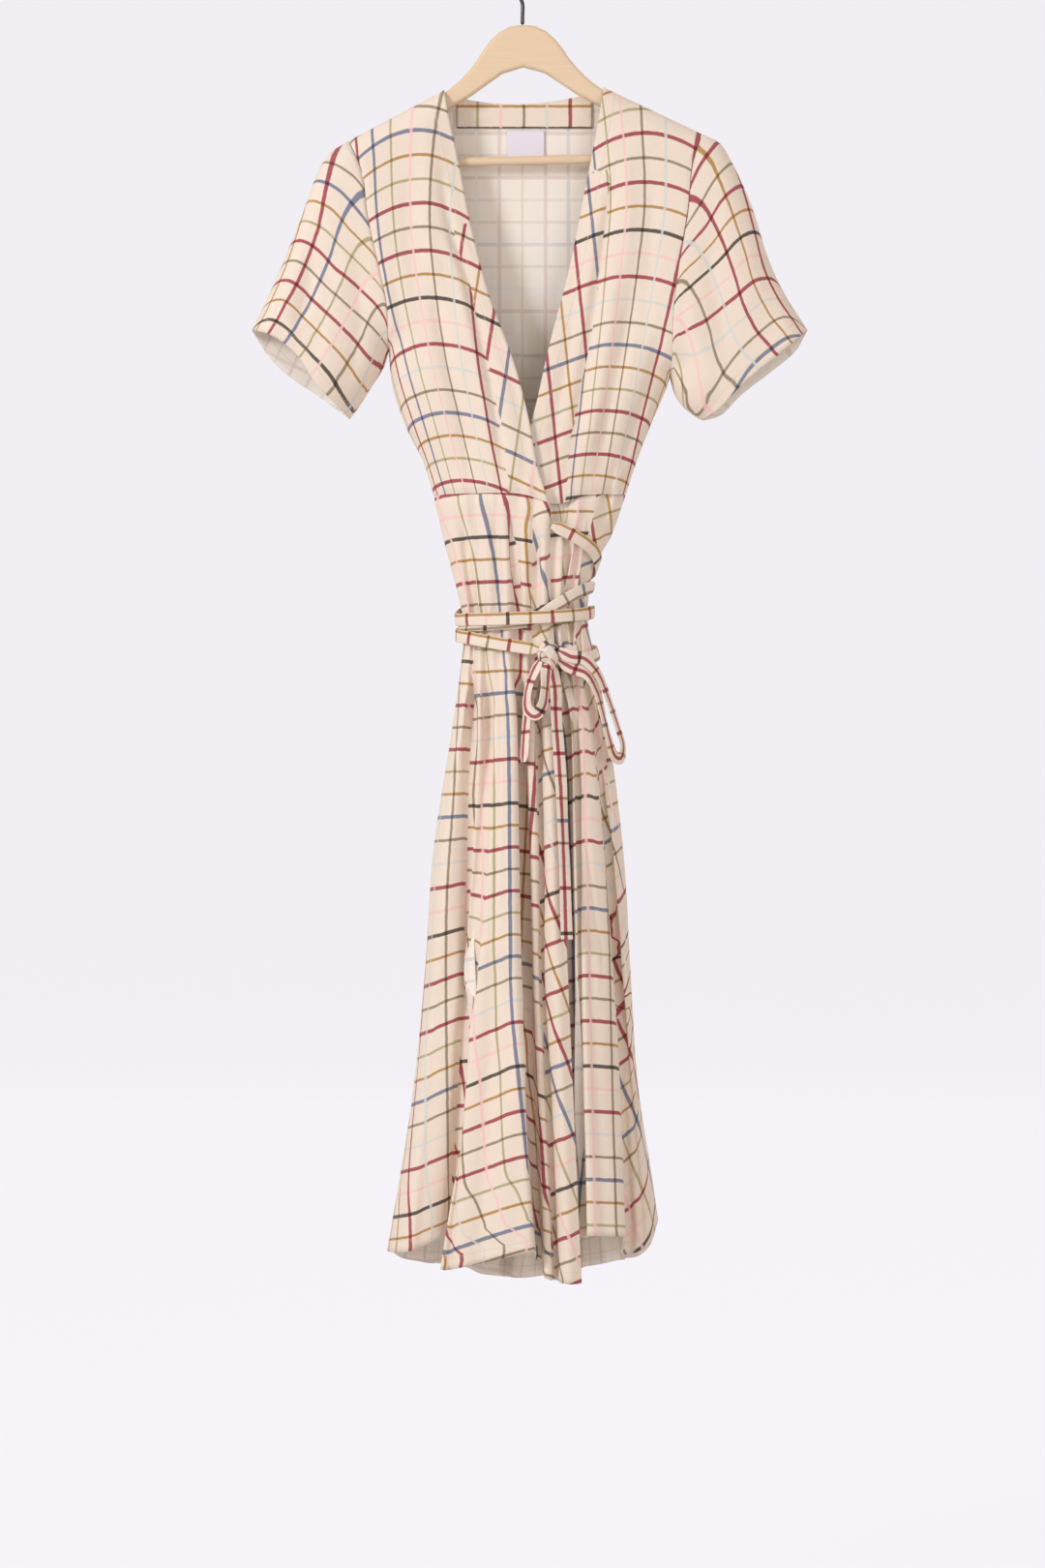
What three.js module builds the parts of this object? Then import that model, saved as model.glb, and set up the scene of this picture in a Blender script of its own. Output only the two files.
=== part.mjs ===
// Wrap dress in a light woven check, hanging on a wooden hanger with a trouser bar.
// Millimetres, +Z up, the front faces -Y, the viewer's right is +X. The origin is the inner top of the
// hanger's hook, where a rod carries it. A "drop" is a distance below the origin, so z = -drop, and
// "across" is a distance to the viewer's right of the hook's line.
// The dress is sewn from walls of cloth: two crossing fronts, a back, two short sleeves, and a flared
// skirt of an over front, an under front and a back, tied by two narrow ties that go round the waist.
import * as THREE from 'three';

// Cloth and seams
const CLOTH = 1.5;
const HALF = CLOTH / 2;
const SEAM_GAP = 0.5;
const LAYER_GAP = 0.4;
const LAY_ROOM = 0.7;
const FACING = 1.0;
const TIE_WIDTH = 13;
const TIE_THICK = 1.8;

// Levels, as drops below the hook's rest
const WAIST = 570;
const BELT = 700;
const HIP = 818;
const KNEE = 1058;
const WAIST_DIP = { depth: 11, across: 34, spread: 24 };

// Shoulder line and neck, where the cloth lies on the hanger's arms
const SHOULDER = {
  left: { neck: [-82, 152.5], tip: [-179, 204], notch: [-138, 419] },
  right: { neck: [85, 149.5], tip: [185, 197], notch: [152, 446] },
};
const BACK_NECK = [
  { across: -82, drop: 152.5 }, { across: -53, drop: 159 }, { across: -24, drop: 162.6 },
  { across: 2, drop: 162.8 }, { across: 28, drop: 160.4 }, { across: 48, drop: 157 },
  { across: 85, drop: 149.5 },
];

// Outer edge of the bodice: armhole seam down to the underarm, then side seam to the waist
const EDGE_LEFT = [
  { drop: 204, across: -179 }, { drop: 239, across: -165 }, { drop: 284, across: -159 },
  { drop: 334, across: -148 }, { drop: 376, across: -139.5 }, { drop: 419, across: -138 },
  { drop: 461, across: -133 }, { drop: 504, across: -118 }, { drop: 533, across: -103 },
  { drop: 570, across: -91 },
];
const EDGE_RIGHT = [
  { drop: 197, across: 185 }, { drop: 232, across: 174.5 }, { drop: 280, across: 170 },
  { drop: 339, across: 160 }, { drop: 386, across: 154.5 }, { drop: 446, across: 152 },
  { drop: 474, across: 142 }, { drop: 507, across: 128 }, { drop: 545, across: 114 },
  { drop: 570, across: 106 },
];

// Neckline edges of the two fronts
const NECK_RIGHT_FRONT = [
  { drop: 152, across: -81 }, { drop: 185, across: -75 }, { drop: 231, across: -65 },
  { drop: 289, across: -54 }, { drop: 367, across: -34 }, { drop: 433, across: -10 },
  { drop: 490, across: 5 }, { drop: 548, across: 16 }, { drop: 581, across: 27 },
];
const NECK_LEFT_FRONT = [
  { drop: 149, across: 84 }, { drop: 191, across: 77 }, { drop: 258, across: 64 },
  { drop: 338, across: 48 }, { drop: 423, across: 26 }, { drop: 488, across: 11 },
  { drop: 536, across: -6 }, { drop: 571, across: -24 },
];

// Sleeve edges: the fold on top, the seam under the arm, and the front and back hems
const SLEEVE_LEFT = {
  top: [[-179, 204], [-199, 217], [-212, 238], [-228, 282], [-246, 327], [-262, 364], [-279, 400]],
  under: [[-138, 419], [-144, 438], [-156, 457], [-167, 475], [-179, 491]],
  frontHem: [[-279, 400], [-252, 411], [-230, 430], [-212, 458], [-194, 476], [-179, 491]],
  backHem: [[-279, 400], [-262, 426], [-239, 447], [-215, 463], [-196, 477], [-179, 491]],
};
const SLEEVE_RIGHT = {
  top: [[185, 197], [203, 206], [215, 224], [236, 270], [253, 324], [268, 358], [294, 400]],
  under: [[152, 446], [158, 466], [166, 478], [180, 489], [187, 492]],
  frontHem: [[294, 400], [277, 416], [253, 436], [225, 459], [203, 482], [187, 492]],
  backHem: [[294, 400], [284, 418], [258, 440], [228, 463], [206, 485], [187, 492]],
};

// Half depth of the bodice, before and behind, down from the shoulder
const DEPTHS = [
  { drop: 150, front: 16, back: 16 }, { drop: 230, front: 19, back: 18 },
  { drop: 340, front: 27, back: 21 }, { drop: 430, front: 34, back: 26 },
  { drop: 500, front: 38, back: 31 }, { drop: 570, front: 38, back: 34 },
];
const SHOULDER_ROLL = 24;
const UNDERARM_ROLL = 52;
const OVER_LIFT = 3.2;
const UNDER_SINK = 3.2;
const EDGE_ROLL = { depth: 7, reach: 26 };
// Soft creases of the fronts, where the turned-in edge ends and where the cloth falls from the shoulder
const CREASE = { depth: 5, width: 9 };
const CREASES_OVER = [
  [{ drop: 200, across: -88 }, { drop: 286, across: -76 }, { drop: 339, across: -59 },
    { drop: 458, across: -30 }, { drop: 573, across: -15 }],
  [{ drop: 330, across: -96 }, { drop: 420, across: -80 }, { drop: 500, across: -62 },
    { drop: 573, across: -52 }],
];
const CREASES_UNDER = [
  [{ drop: 200, across: 98 }, { drop: 267, across: 90 }, { drop: 339, across: 80 },
    { drop: 442, across: 65 }, { drop: 573, across: 44 }],
  [{ drop: 330, across: 118 }, { drop: 420, across: 104 }, { drop: 500, across: 86 },
    { drop: 573, across: 74 }],
];

// Outline of the skirt and half depth of its envelope, before and behind
const SKIRT_OUTLINE = [
  { drop: 570, left: -91, right: 106, front: 38, back: 34 },
  { drop: 612, left: -82, right: 91, front: 37, back: 34 },
  { drop: 642, left: -74, right: 74, front: 36, back: 34 },
  { drop: 665, left: -68, right: 69, front: 35.5, back: 34 },
  { drop: 700, left: -61, right: 67, front: 35, back: 34 },
  { drop: 744, left: -63, right: 76, front: 38, back: 39 },
  { drop: 818, left: -73.5, right: 89, front: 47, back: 50 },
  { drop: 940, left: -92, right: 104, front: 62, back: 66 },
  { drop: 1058, left: -100, right: 111, front: 74, back: 78 },
  { drop: 1180, left: -112, right: 119, front: 85, back: 90 },
  { drop: 1278, left: -127, right: 134, front: 93, back: 97 },
  { drop: 1380, left: -145, right: 148, front: 97, back: 102 },
];

// Folds of the skirt. Each row is one ridge or groove: its place across at the waist, belt, hip, knee
// and hem, how far it lies inside the envelope at the belt, hip, knee and hem, and its drop at the hem.
const OVER_FOLDS = [
  { across: [-91, -60.5, -73, -100, -140], inside: [0, 0, 0, 0], hem: 1350 },
  { across: [-81, -55, -64, -87, -113], inside: [0, -2, -3, 0], hem: 1344 },
  { across: [-68, -50, -56, -61, -75], inside: [5, 8, 19, 36], hem: 1331 },
  { across: [-58, -45, -46, -57, -76], inside: [0, 1, 12, 30], hem: 1336 },
  { across: [-47, -39, -36, -54, -78], inside: [5, 9, 12, 16], hem: 1350 },
  { across: [-39, -34, -29, -47, -81], inside: [1, 1, 1, 0], hem: 1361 },
  { across: [-29, -25, -20, -28, -35], inside: [4, 3, 2, 2], hem: 1351 },
  { across: [-17, -16, -11, -9, 12], inside: [-1, -4, -6, -5], hem: 1340 },
  { across: [-6, -7, 1, 5, 17], inside: [5, 13, 26, 32], hem: 1352 },
  { across: [3, 1, 9, 13, 26], inside: [1, 5, 13, 15], hem: 1369 },
  { across: [11, 9, 14, 18, 31], inside: [5, 10, 20, 22], hem: 1372 },
  { across: [19, 22, 26, 33, 46], inside: [0, 1, 3, 4], hem: 1374 },
  { across: [27, 32, 37, 46, 60], inside: [1, 2, 5, 6], hem: 1374 },
];
const UNDER_FOLDS = [
  { across: [106, 67, 89, 111, 139], inside: [0, 0, 0, 0], hem: 1318 },
  { across: [97, 62, 82, 104, 128], inside: [0, 0, 2, 4], hem: 1342 },
  { across: [88, 58, 76, 96, 102], inside: [4, 7, 20, 34], hem: 1350 },
  { across: [78, 54, 72, 92, 108], inside: [0, 1, 3, 4], hem: 1331 },
  { across: [68, 50, 66, 78, 85], inside: [3, 1, 1, 0], hem: 1327 },
  { across: [60, 46, 58, 62, 66], inside: [0, 2, 3, 3], hem: 1326 },
  { across: [53, 42, 55, 58, 61], inside: [4, 6, 9, 10], hem: 1327 },
  { across: [46, 38, 50, 55, 58], inside: [2, 5, 8, 14], hem: 1329 },
  { across: [36, 30, 42, 46, 50], inside: [9, 17, 22, 30], hem: 1331 },
  { across: [18, 14, 22, 22, 26], inside: [11, 20, 34, 42], hem: 1335 },
  { across: [-4, -6, -4, -6, -6], inside: [11, 22, 37, 44], hem: 1336 },
  { across: [-24, -24, -26, -32, -36], inside: [11, 22, 37, 46], hem: 1334 },
];
const BACK_FOLDS = [
  { across: [-91, -60.5, -73, -100, -140], inside: [0, 0, 0, 0], hem: 1350 },
  { across: [-82, -54, -65, -91, -124], inside: [0, -1, -2, 0], hem: 1364 },
  { across: [-71, -48, -55, -74, -94], inside: [4, 9, 18, 30], hem: 1368 },
  { across: [-58, -40, -44, -53, -68], inside: [0, 0, -2, -4], hem: 1377 },
  { across: [-45, -31, -33, -37, -42], inside: [5, 10, 21, 33], hem: 1382 },
  { across: [-30, -22, -20, -17, -16], inside: [0, -2, -4, -6], hem: 1390 },
  { across: [-15, -12, -9, -2, 4], inside: [5, 12, 25, 35], hem: 1386 },
  { across: [0, -3, 3, 13, 23], inside: [0, 0, 0, -2], hem: 1388 },
  { across: [14, 6, 14, 29, 43], inside: [4, 8, 16, 26], hem: 1381 },
  { across: [30, 16, 28, 46, 65], inside: [0, -2, -4, -6], hem: 1379 },
  { across: [46, 27, 41, 62, 86], inside: [5, 10, 22, 33], hem: 1369 },
  { across: [62, 37, 55, 77, 105], inside: [0, -1, -2, -2], hem: 1367 },
  { across: [78, 47, 67, 91, 121], inside: [4, 7, 13, 17], hem: 1360 },
  { across: [94, 58, 80, 103, 133], inside: [0, 0, 1, 2], hem: 1348 },
  { across: [106, 67, 89, 111, 139], inside: [0, 0, 0, 0], hem: 1318 },
];
// Ties. The wraps run round the waist: turn is the angle about the body, 0 at the viewer's right and
// 90 in front; layer counts the ties beneath. The bow's ends are free: front is the distance before the
// hook's plane, and face turns the tie's flat side from the front, in degrees.
const OVER_TIE = [
  { turn: 75, drop: 603, layer: 0 }, { turn: 40, drop: 624, layer: 0 }, { turn: 0, drop: 644, layer: 0 },
  { turn: -60, drop: 660, layer: 0 }, { turn: -120, drop: 679, layer: 0.3 },
  { turn: -150, drop: 690, layer: 1.2 }, { turn: -180, drop: 698, layer: 1.5 },
  { turn: -225, drop: 699, layer: 1.4 }, { turn: -270, drop: 698, layer: 1.3 },
  { turn: -320, drop: 694, layer: 1.3 }, { turn: -360, drop: 690, layer: 1.2 },
  { turn: -420, drop: 696, layer: 1.3 }, { turn: -480, drop: 708, layer: 1.4 },
  { turn: -540, drop: 714, layer: 1.5 }, { turn: -575, drop: 718, layer: 1.4 },
  { turn: -601, drop: 723, layer: 1.5 },
  { turn: -625, drop: 728, layer: 1.6 }, { turn: -638, drop: 731, layer: 2.2 },
];
const UNDER_TIE = [
  { turn: 3, drop: 663, layer: 0 }, { turn: 35, drop: 670, layer: 0 }, { turn: 62, drop: 685, layer: 0 },
  { turn: 84, drop: 700, layer: 0 }, { turn: 120, drop: 704, layer: 0 }, { turn: 180, drop: 706, layer: 0 },
  { turn: 225, drop: 711, layer: 0 }, { turn: 270, drop: 719, layer: 0 }, { turn: 315, drop: 727, layer: 0 },
  { turn: 360, drop: 732, layer: 0 }, { turn: 398, drop: 739, layer: 0.6 },
  { turn: 428, drop: 738, layer: 2 },
];
const RIDGE_ROOM = 2.7;
const KNOT = { across: 25, drop: 734, front: 47, size: [17.4, 16, 21] };
const BOW_LOOP = [
  { across: 36.8, drop: 731.5, front: 49.5, face: 0 }, { across: 50, drop: 738, front: 49, face: 15 },
  { across: 63, drop: 740, front: 45, face: 35 }, { across: 77, drop: 755, front: 39, face: 50 },
  { across: 88, drop: 782, front: 34, face: 55 }, { across: 98, drop: 811, front: 30, face: 55 },
  { across: 103, drop: 830, front: 29, face: 50 }, { across: 99, drop: 842, front: 31, face: 40 },
  { across: 91, drop: 840, front: 36, face: 45 }, { across: 84, drop: 822, front: 40, face: 50 },
  { across: 78, drop: 798, front: 42, face: 50 }, { across: 71, drop: 774, front: 44, face: 40 },
  { across: 61, drop: 757, front: 44, face: 20 }, { across: 48, drop: 750, front: 46, face: 5 },
  { across: 37, drop: 741.5, front: 46.7, face: 0 },
];
const SMALL_LOOP = [
  { across: 18, drop: 742.5, front: 50.5, face: -30 }, { across: 10, drop: 759, front: 51, face: -35 },
  { across: 5, drop: 778, front: 52, face: -35 }, { across: 6, drop: 792, front: 54, face: -20 },
  { across: 13, drop: 797, front: 57, face: 0 }, { across: 20, drop: 789, front: 60, face: 20 },
  { across: 23, drop: 772, front: 60, face: 30 }, { across: 24, drop: 755, front: 56, face: 20 },
  { across: 25, drop: 745.5, front: 52, face: 0 },
];
const LONG_TAIL = [
  { across: 29.5, drop: 746, front: 44, face: 10 }, { across: 34, drop: 772, front: 48, face: 20 },
  { across: 34.5, drop: 800, front: 50, face: 30 }, { across: 37, drop: 831, front: 53, face: 25 },
  { across: 39, drop: 860, front: 56, face: 20 }, { across: 41, drop: 905, front: 61, face: 35 },
  { across: 43, drop: 960, front: 67, face: 30 }, { across: 45, drop: 1026, front: 74, face: 20 },
];
const SHORT_TAIL = [
  { across: 15.5, drop: 748, front: 42.5, face: -20 }, { across: 11, drop: 765, front: 43.5, face: -35 },
  { across: 6, drop: 790, front: 46, face: -45 }, { across: 3, drop: 815, front: 51, face: -50 },
  { across: 1, drop: 846, front: 57, face: -45 },
];
const TIE_STEP = 11;
const NECK_FACING = { left: -68, right: 72, bottom: 188, inset: 0.8 };
const LABEL = { left: -16, right: 23, top: 190.5, bottom: 226, thick: 0.7 };
const SIDE_TURN = 0.2;
const STEPS_PER_FOLD = 3;
const SKIRT_ROWS = [0, 0.045, 0.09, 0.13, 0.165, 0.205, 0.26, 0.34, 0.44, 0.56, 0.68, 0.79, 0.9, 1];
const BODICE_ROWS = [
  0, 0.004, 0.016, 0.035, 0.062, 0.11, 0.19, 0.29, 0.4, 0.49, 0.545, 0.587, 0.625, 0.668, 0.72, 0.8, 0.9, 1,
];
const FRONT_COLUMNS = 14;
const SLEEVE_ROWS = 7;
const SLEEVE_COLUMNS = 12;

// Hanger: flat wooden arms on a domed neck, a round trouser bar and a wire hook
const HANGER = {
  top: 84,
  thick: 12,
  round: 4,
  tilt: THREE.MathUtils.degToRad(1.1),
  bar: { diameter: 9.5, drop: 140, gap: 0.9, sides: 14 },
  hook: { wire: 4, inner: 20, stem: 75, neck: [0, 62], bend: [-3, 54], first: -118, last: 18 },
};
// Upper and lower outline of one arm, from the dome outward, as across and depth below the dome's top
const ARM_TOP = [[0, 0], [13, 1.5], [24, 7], [33, 15], [41, 25], [48, 36], [56, 46], [66, 56.5], [82, 69]];
const ARM_TIP = [[177, 117], [184, 122], [187, 130], [187, 145], [182, 152], [173, 152], [167, 146]];
const ARM_UNDER = [[163, 129], [76, 84], [54, 72], [38, 61], [22, 50], [0, 43.5]];

// Materials
const cloth = new THREE.MeshStandardMaterial({ color: 0xecdccd, roughness: 0.85, metalness: 0 });
const labelCloth = new THREE.MeshStandardMaterial({ color: 0xe9e6f0, roughness: 0.7, metalness: 0 });
const wood = new THREE.MeshStandardMaterial({ color: 0xe6cba8, roughness: 0.5, metalness: 0 });
const wire = new THREE.MeshStandardMaterial({ color: 0x2a2a2c, roughness: 0.35, metalness: 0.9 });

const dress = new THREE.Group();

const mix = (from, to, part) => from + (to - from) * part;
const clamp = (value, low, high) => Math.min(Math.max(value, low), high);

// Smooth curve through (stops, values): cubic pieces whose slope at a stop is the slope between its
// neighbours.
function smoothAt(stops, values, at) {
  const last = stops.length - 1;
  const where = clamp(at, stops[0], stops[last]);
  let i = 0;
  while (i < last - 1 && where > stops[i + 1]) i += 1;
  const slope = (k) => {
    const before = Math.max(k - 1, 0);
    const after = Math.min(k + 1, last);
    return (values[after] - values[before]) / (stops[after] - stops[before]);
  };
  const span = stops[i + 1] - stops[i];
  const t = (where - stops[i]) / span;
  const t2 = t * t;
  const t3 = t2 * t;
  return (2 * t3 - 3 * t2 + 1) * values[i] + (t3 - 2 * t2 + t) * span * slope(i)
    + (3 * t2 - 2 * t3) * values[i + 1] + (t3 - t2) * span * slope(i + 1);
}

// Value of a named column of a table of rows at a drop, or at a distance across
const column = (rows, name, at, key = 'drop') =>
  smoothAt(rows.map((row) => row[key]), rows.map((row) => row[name]), at);

// Point at a fraction of the length of a smooth path through 2-D points
function alongPath(points, part) {
  const lengths = [0];
  for (let i = 1; i < points.length; i += 1) {
    const [from, to] = [points[i - 1], points[i]];
    lengths.push(lengths[i - 1] + Math.hypot(to[0] - from[0], to[1] - from[1]));
  }
  const at = part * lengths[lengths.length - 1];
  return [0, 1].map((axis) => smoothAt(lengths, points.map((point) => point[axis]), at));
}

// Shortest distance from a point to a path of straight pieces
function distanceTo(points, across, drop) {
  let best = Infinity;
  for (let i = 1; i < points.length; i += 1) {
    const [ax, ay] = points[i - 1];
    const [bx, by] = points[i];
    const length2 = (bx - ax) ** 2 + (by - ay) ** 2;
    const t = clamp(((across - ax) * (bx - ax) + (drop - ay) * (by - ay)) / length2, 0, 1);
    best = Math.min(best, Math.hypot(across - mix(ax, bx, t), drop - mix(ay, by, t)));
  }
  return best;
}

// Quarter round: 0 at an edge with an upright tangent, 1 from "reach" inward
const roll = (distance, reach) => Math.sqrt(1 - (1 - Math.min(distance / reach, 1)) ** 2);
const ease = (part) => {
  const t = clamp(part, 0, 1);
  return t * t * (3 - 2 * t);
};

// Closed wall of cloth about a grid of points. seamEnds names the edges that lie in a seam's plane:
// there the wall is squared to that plane, so that two walls keep their gap.
function wallGeometry(rows, thickness, { ring = false, seams = {} } = {}) {
  const count = rows.length;
  const width = rows[0].length;
  const vector = (i, j) => new THREE.Vector3(...rows[i][j]);
  const normals = rows.map((row, i) => row.map((point, j) => {
    const before = ring ? (j + width - 1) % width : Math.max(j - 1, 0);
    const after = ring ? (j + 1) % width : Math.min(j + 1, width - 1);
    const along = vector(i, after).sub(vector(i, before));
    const down = vector(Math.min(i + 1, count - 1), j).sub(vector(Math.max(i - 1, 0), j));
    const normal = along.cross(down).normalize();
    const edges = [];
    if (i === 0) edges.push(seams.first);
    if (i === count - 1) edges.push(seams.last);
    if (j === 0 && !ring) edges.push(seams.start);
    if (j === width - 1 && !ring) edges.push(seams.end);
    for (const axis of edges.filter(Boolean)) normal[axis] = 0;
    return normal.normalize();
  }));
  const vertices = [];
  for (const side of [-0.5, 0.5]) {
    rows.forEach((row, i) => row.forEach((point, j) => {
      const moved = vector(i, j).addScaledVector(normals[i][j], side * thickness);
      vertices.push(moved.x, moved.y, moved.z);
    }));
  }
  const layer = count * width;
  const index = [];
  const quad = (a, b, c, d) => index.push(a, b, c, a, c, d);
  const spans = ring ? width : width - 1;
  for (let i = 0; i < count - 1; i += 1) {
    for (let j = 0; j < spans; j += 1) {
      const k = (j + 1) % width;
      const [a, b, c, d] = [i * width + j, i * width + k, (i + 1) * width + k, (i + 1) * width + j];
      quad(a, b, c, d);
      quad(layer + a, layer + d, layer + c, layer + b);
    }
  }
  for (let j = 0; j < spans; j += 1) {
    const k = (j + 1) % width;
    const low = (count - 1) * width;
    quad(j, layer + j, layer + k, k);
    quad(low + k, layer + low + k, layer + low + j, low + j);
  }
  if (!ring) {
    for (let i = 0; i < count - 1; i += 1) {
      const [left, below] = [i * width, (i + 1) * width];
      const [right, belowRight] = [left + width - 1, below + width - 1];
      quad(below, layer + below, layer + left, left);
      quad(right, layer + right, layer + belowRight, belowRight);
    }
  }
  const geometry = new THREE.BufferGeometry();
  geometry.setAttribute('position', new THREE.Float32BufferAttribute(vertices, 3));
  geometry.setIndex(index);
  return outward(geometry);
}

// Turns the faces out, found by the sign of the enclosed volume
function outward(geometry) {
  const position = geometry.getAttribute('position');
  const index = Array.from(geometry.getIndex().array);
  const corner = (i) => new THREE.Vector3().fromBufferAttribute(position, index[i]);
  let volume = 0;
  for (let i = 0; i < index.length; i += 3) {
    volume += corner(i).dot(corner(i + 1).cross(corner(i + 2)));
  }
  if (volume < 0) {
    for (let i = 0; i < index.length; i += 3) [index[i], index[i + 1]] = [index[i + 1], index[i]];
    geometry.setIndex(index);
  }
  geometry.computeVertexNormals();
  return geometry;
}

function add(name, geometry, material, parent = dress) {
  const mesh = new THREE.Mesh(geometry, material);
  mesh.name = name;
  parent.add(mesh);
  return mesh;
}

// Edges of the bodice and sleeves as fine paths, for measuring how far a place lies from each
const EDGE_STEPS = 40;
const EDGE_SLACK = 0.05;
const steps = (count) => Array.from({ length: count + 1 }, (_, i) => i / count);
const finePath = (points) => steps(EDGE_STEPS).map((part) => alongPath(points, part));
function edgePaths(side) {
  const { neck, notch } = SHOULDER[side];
  const sleeve = side === 'left' ? SLEEVE_LEFT : SLEEVE_RIGHT;
  const edge = side === 'left' ? EDGE_LEFT : EDGE_RIGHT;
  const seam = steps(EDGE_STEPS).map((part) => {
    const drop = mix(notch[1], WAIST, part);
    return [column(edge, 'across', drop), drop];
  });
  return { top: [neck, ...finePath(sleeve.top)], seam, under: finePath(sleeve.under), edge };
}
const EDGES = { left: edgePaths('left'), right: edgePaths('right') };

// Bodice: half depth at a place on the front or back, rolled over the shoulder, the sleeve's fold and
// the side seam, so that fronts, back and sleeves share one form
function bodiceDepth(side, across, drop, face) {
  const notchDrop = SHOULDER[side].notch[1];
  const { top: topPath, seam, under, edge } = EDGES[side];
  const top = distanceTo(topPath, across, drop);
  const outline = column(SKIRT_OUTLINE, 'right', WAIST) - column(SKIRT_OUTLINE, 'left', WAIST);
  const reach = mix(UNDERARM_ROLL, outline / 2, ease((drop - notchDrop) / (WAIST - notchDrop)));
  const beyond = Math.abs(across) - Math.abs(column(edge, 'across', drop)) > EDGE_SLACK;
  const inner = distanceTo(beyond ? under : seam, across, drop);
  return column(DEPTHS, face, drop) * roll(top, SHOULDER_ROLL) * roll(inner, reach);
}

const waistDrop = (across) =>
  WAIST + WAIST_DIP.depth * Math.exp(-(((across - WAIST_DIP.across) / WAIST_DIP.spread) ** 2));

// Depth of the creases at a place: a rounded groove along each crease line
function creaseDepth(creases, across, drop) {
  return creases.reduce((sum, line) => {
    const away = across - column(line, 'across', drop);
    return sum + CREASE.depth * Math.exp(-((away / CREASE.width) ** 2));
  }, 0);
}

// One crossing front of the bodice, from its neckline edge to the armhole and side seam
function bodiceFront(side) {
  const over = side === 'left';
  const neckEdge = over ? NECK_RIGHT_FRONT : NECK_LEFT_FRONT;
  const outer = over ? EDGE_LEFT : EDGE_RIGHT;
  const layer = over ? OVER_LIFT : -UNDER_SINK;
  const neckEnd = neckEdge[neckEdge.length - 1];
  const rows = [];
  for (const v of BODICE_ROWS) {
    const row = [];
    for (let j = 0; j <= FRONT_COLUMNS; j += 1) {
      const u = 1 - (1 - j / FRONT_COLUMNS) ** 1.7;
      const innerDrop = mix(neckEdge[0].drop, waistDrop(neckEnd.across) - SEAM_GAP, v);
      const outerDrop = mix(outer[0].drop, WAIST - SEAM_GAP, v);
      const across = mix(column(neckEdge, 'across', innerDrop), column(outer, 'across', outerDrop), u);
      const flat = mix(innerDrop, outerDrop, u);
      const straight = mix(waistDrop(neckEnd.across), WAIST, u);
      const drop = flat + (waistDrop(across) - straight) * v ** 6 * (1 - u ** 12);
      const depth = bodiceDepth(side, across, drop, 'front');
      const inward = Math.abs(across - column(neckEdge, 'across', innerDrop));
      const lap = layer * ease(v * 1.6) * (1 - u ** 3);
      const curlEnds = ease(v * 5) * ease((0.72 - v) * 4);
      const curl = EDGE_ROLL.depth * (1 - ease(inward / EDGE_ROLL.reach)) * curlEnds;
      const creases = over ? CREASES_OVER : CREASES_UNDER;
      const crease = creaseDepth(creases, across, drop) * ease(v * 4) * ease((1 - v) * 5);
      row.push([across, -(SEAM_GAP / 2 + Math.max(depth + lap - curl - crease, 0)), -drop]);
    }
    rows.push(row);
  }
  return wallGeometry(rows, CLOTH, { seams: { first: 'y', last: 'z' } });
}

// Back of the bodice in one piece, with its shallow neckline
function bodiceBack() {
  const { left, right } = SHOULDER;
  const width = right.tip[0] - left.tip[0];
  const neckStart = (left.neck[0] - left.tip[0]) / width;
  const neckEnd = (right.neck[0] - left.tip[0]) / width;
  const fractions = [];
  const shoulderSpans = 7;
  const neckColumns = [0, 0.006, 0.022, 0.06, 0.13, 0.25, 0.375, 0.5];
  for (let j = 0; j < shoulderSpans; j += 1) fractions.push(neckStart * (j / shoulderSpans) ** 1.6);
  for (const part of neckColumns) fractions.push(mix(neckStart, neckEnd, part));
  for (const part of neckColumns.slice(0, -1).reverse()) fractions.push(mix(neckEnd, neckStart, part));
  for (let j = shoulderSpans - 1; j >= 0; j -= 1) {
    fractions.push(1 - (1 - neckEnd) * (j / shoulderSpans) ** 1.6);
  }
  const topDrop = (across) => {
    if (across < left.neck[0]) {
      return mix(left.tip[1], left.neck[1], (across - left.tip[0]) / (left.neck[0] - left.tip[0]));
    }
    if (across > right.neck[0]) {
      return mix(right.neck[1], right.tip[1], (across - right.neck[0]) / (right.tip[0] - right.neck[0]));
    }
    return column(BACK_NECK, 'drop', across, 'across');
  };
  const rows = BODICE_ROWS.map((v) => fractions.map((u) => {
      const across = mix(
        column(EDGE_LEFT, 'across', mix(left.tip[1], WAIST - SEAM_GAP, v)),
        column(EDGE_RIGHT, 'across', mix(right.tip[1], WAIST - SEAM_GAP, v)), u);
      const drop = mix(topDrop(mix(left.tip[0], right.tip[0], u)), WAIST - SEAM_GAP, v);
      const side = u < 0.5 ? 'left' : 'right';
      return [across, SEAM_GAP / 2 + bodiceDepth(side, across, drop, 'back'), -drop];
  }));
  return wallGeometry(rows, CLOTH, { seams: { last: 'z' } });
}

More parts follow.
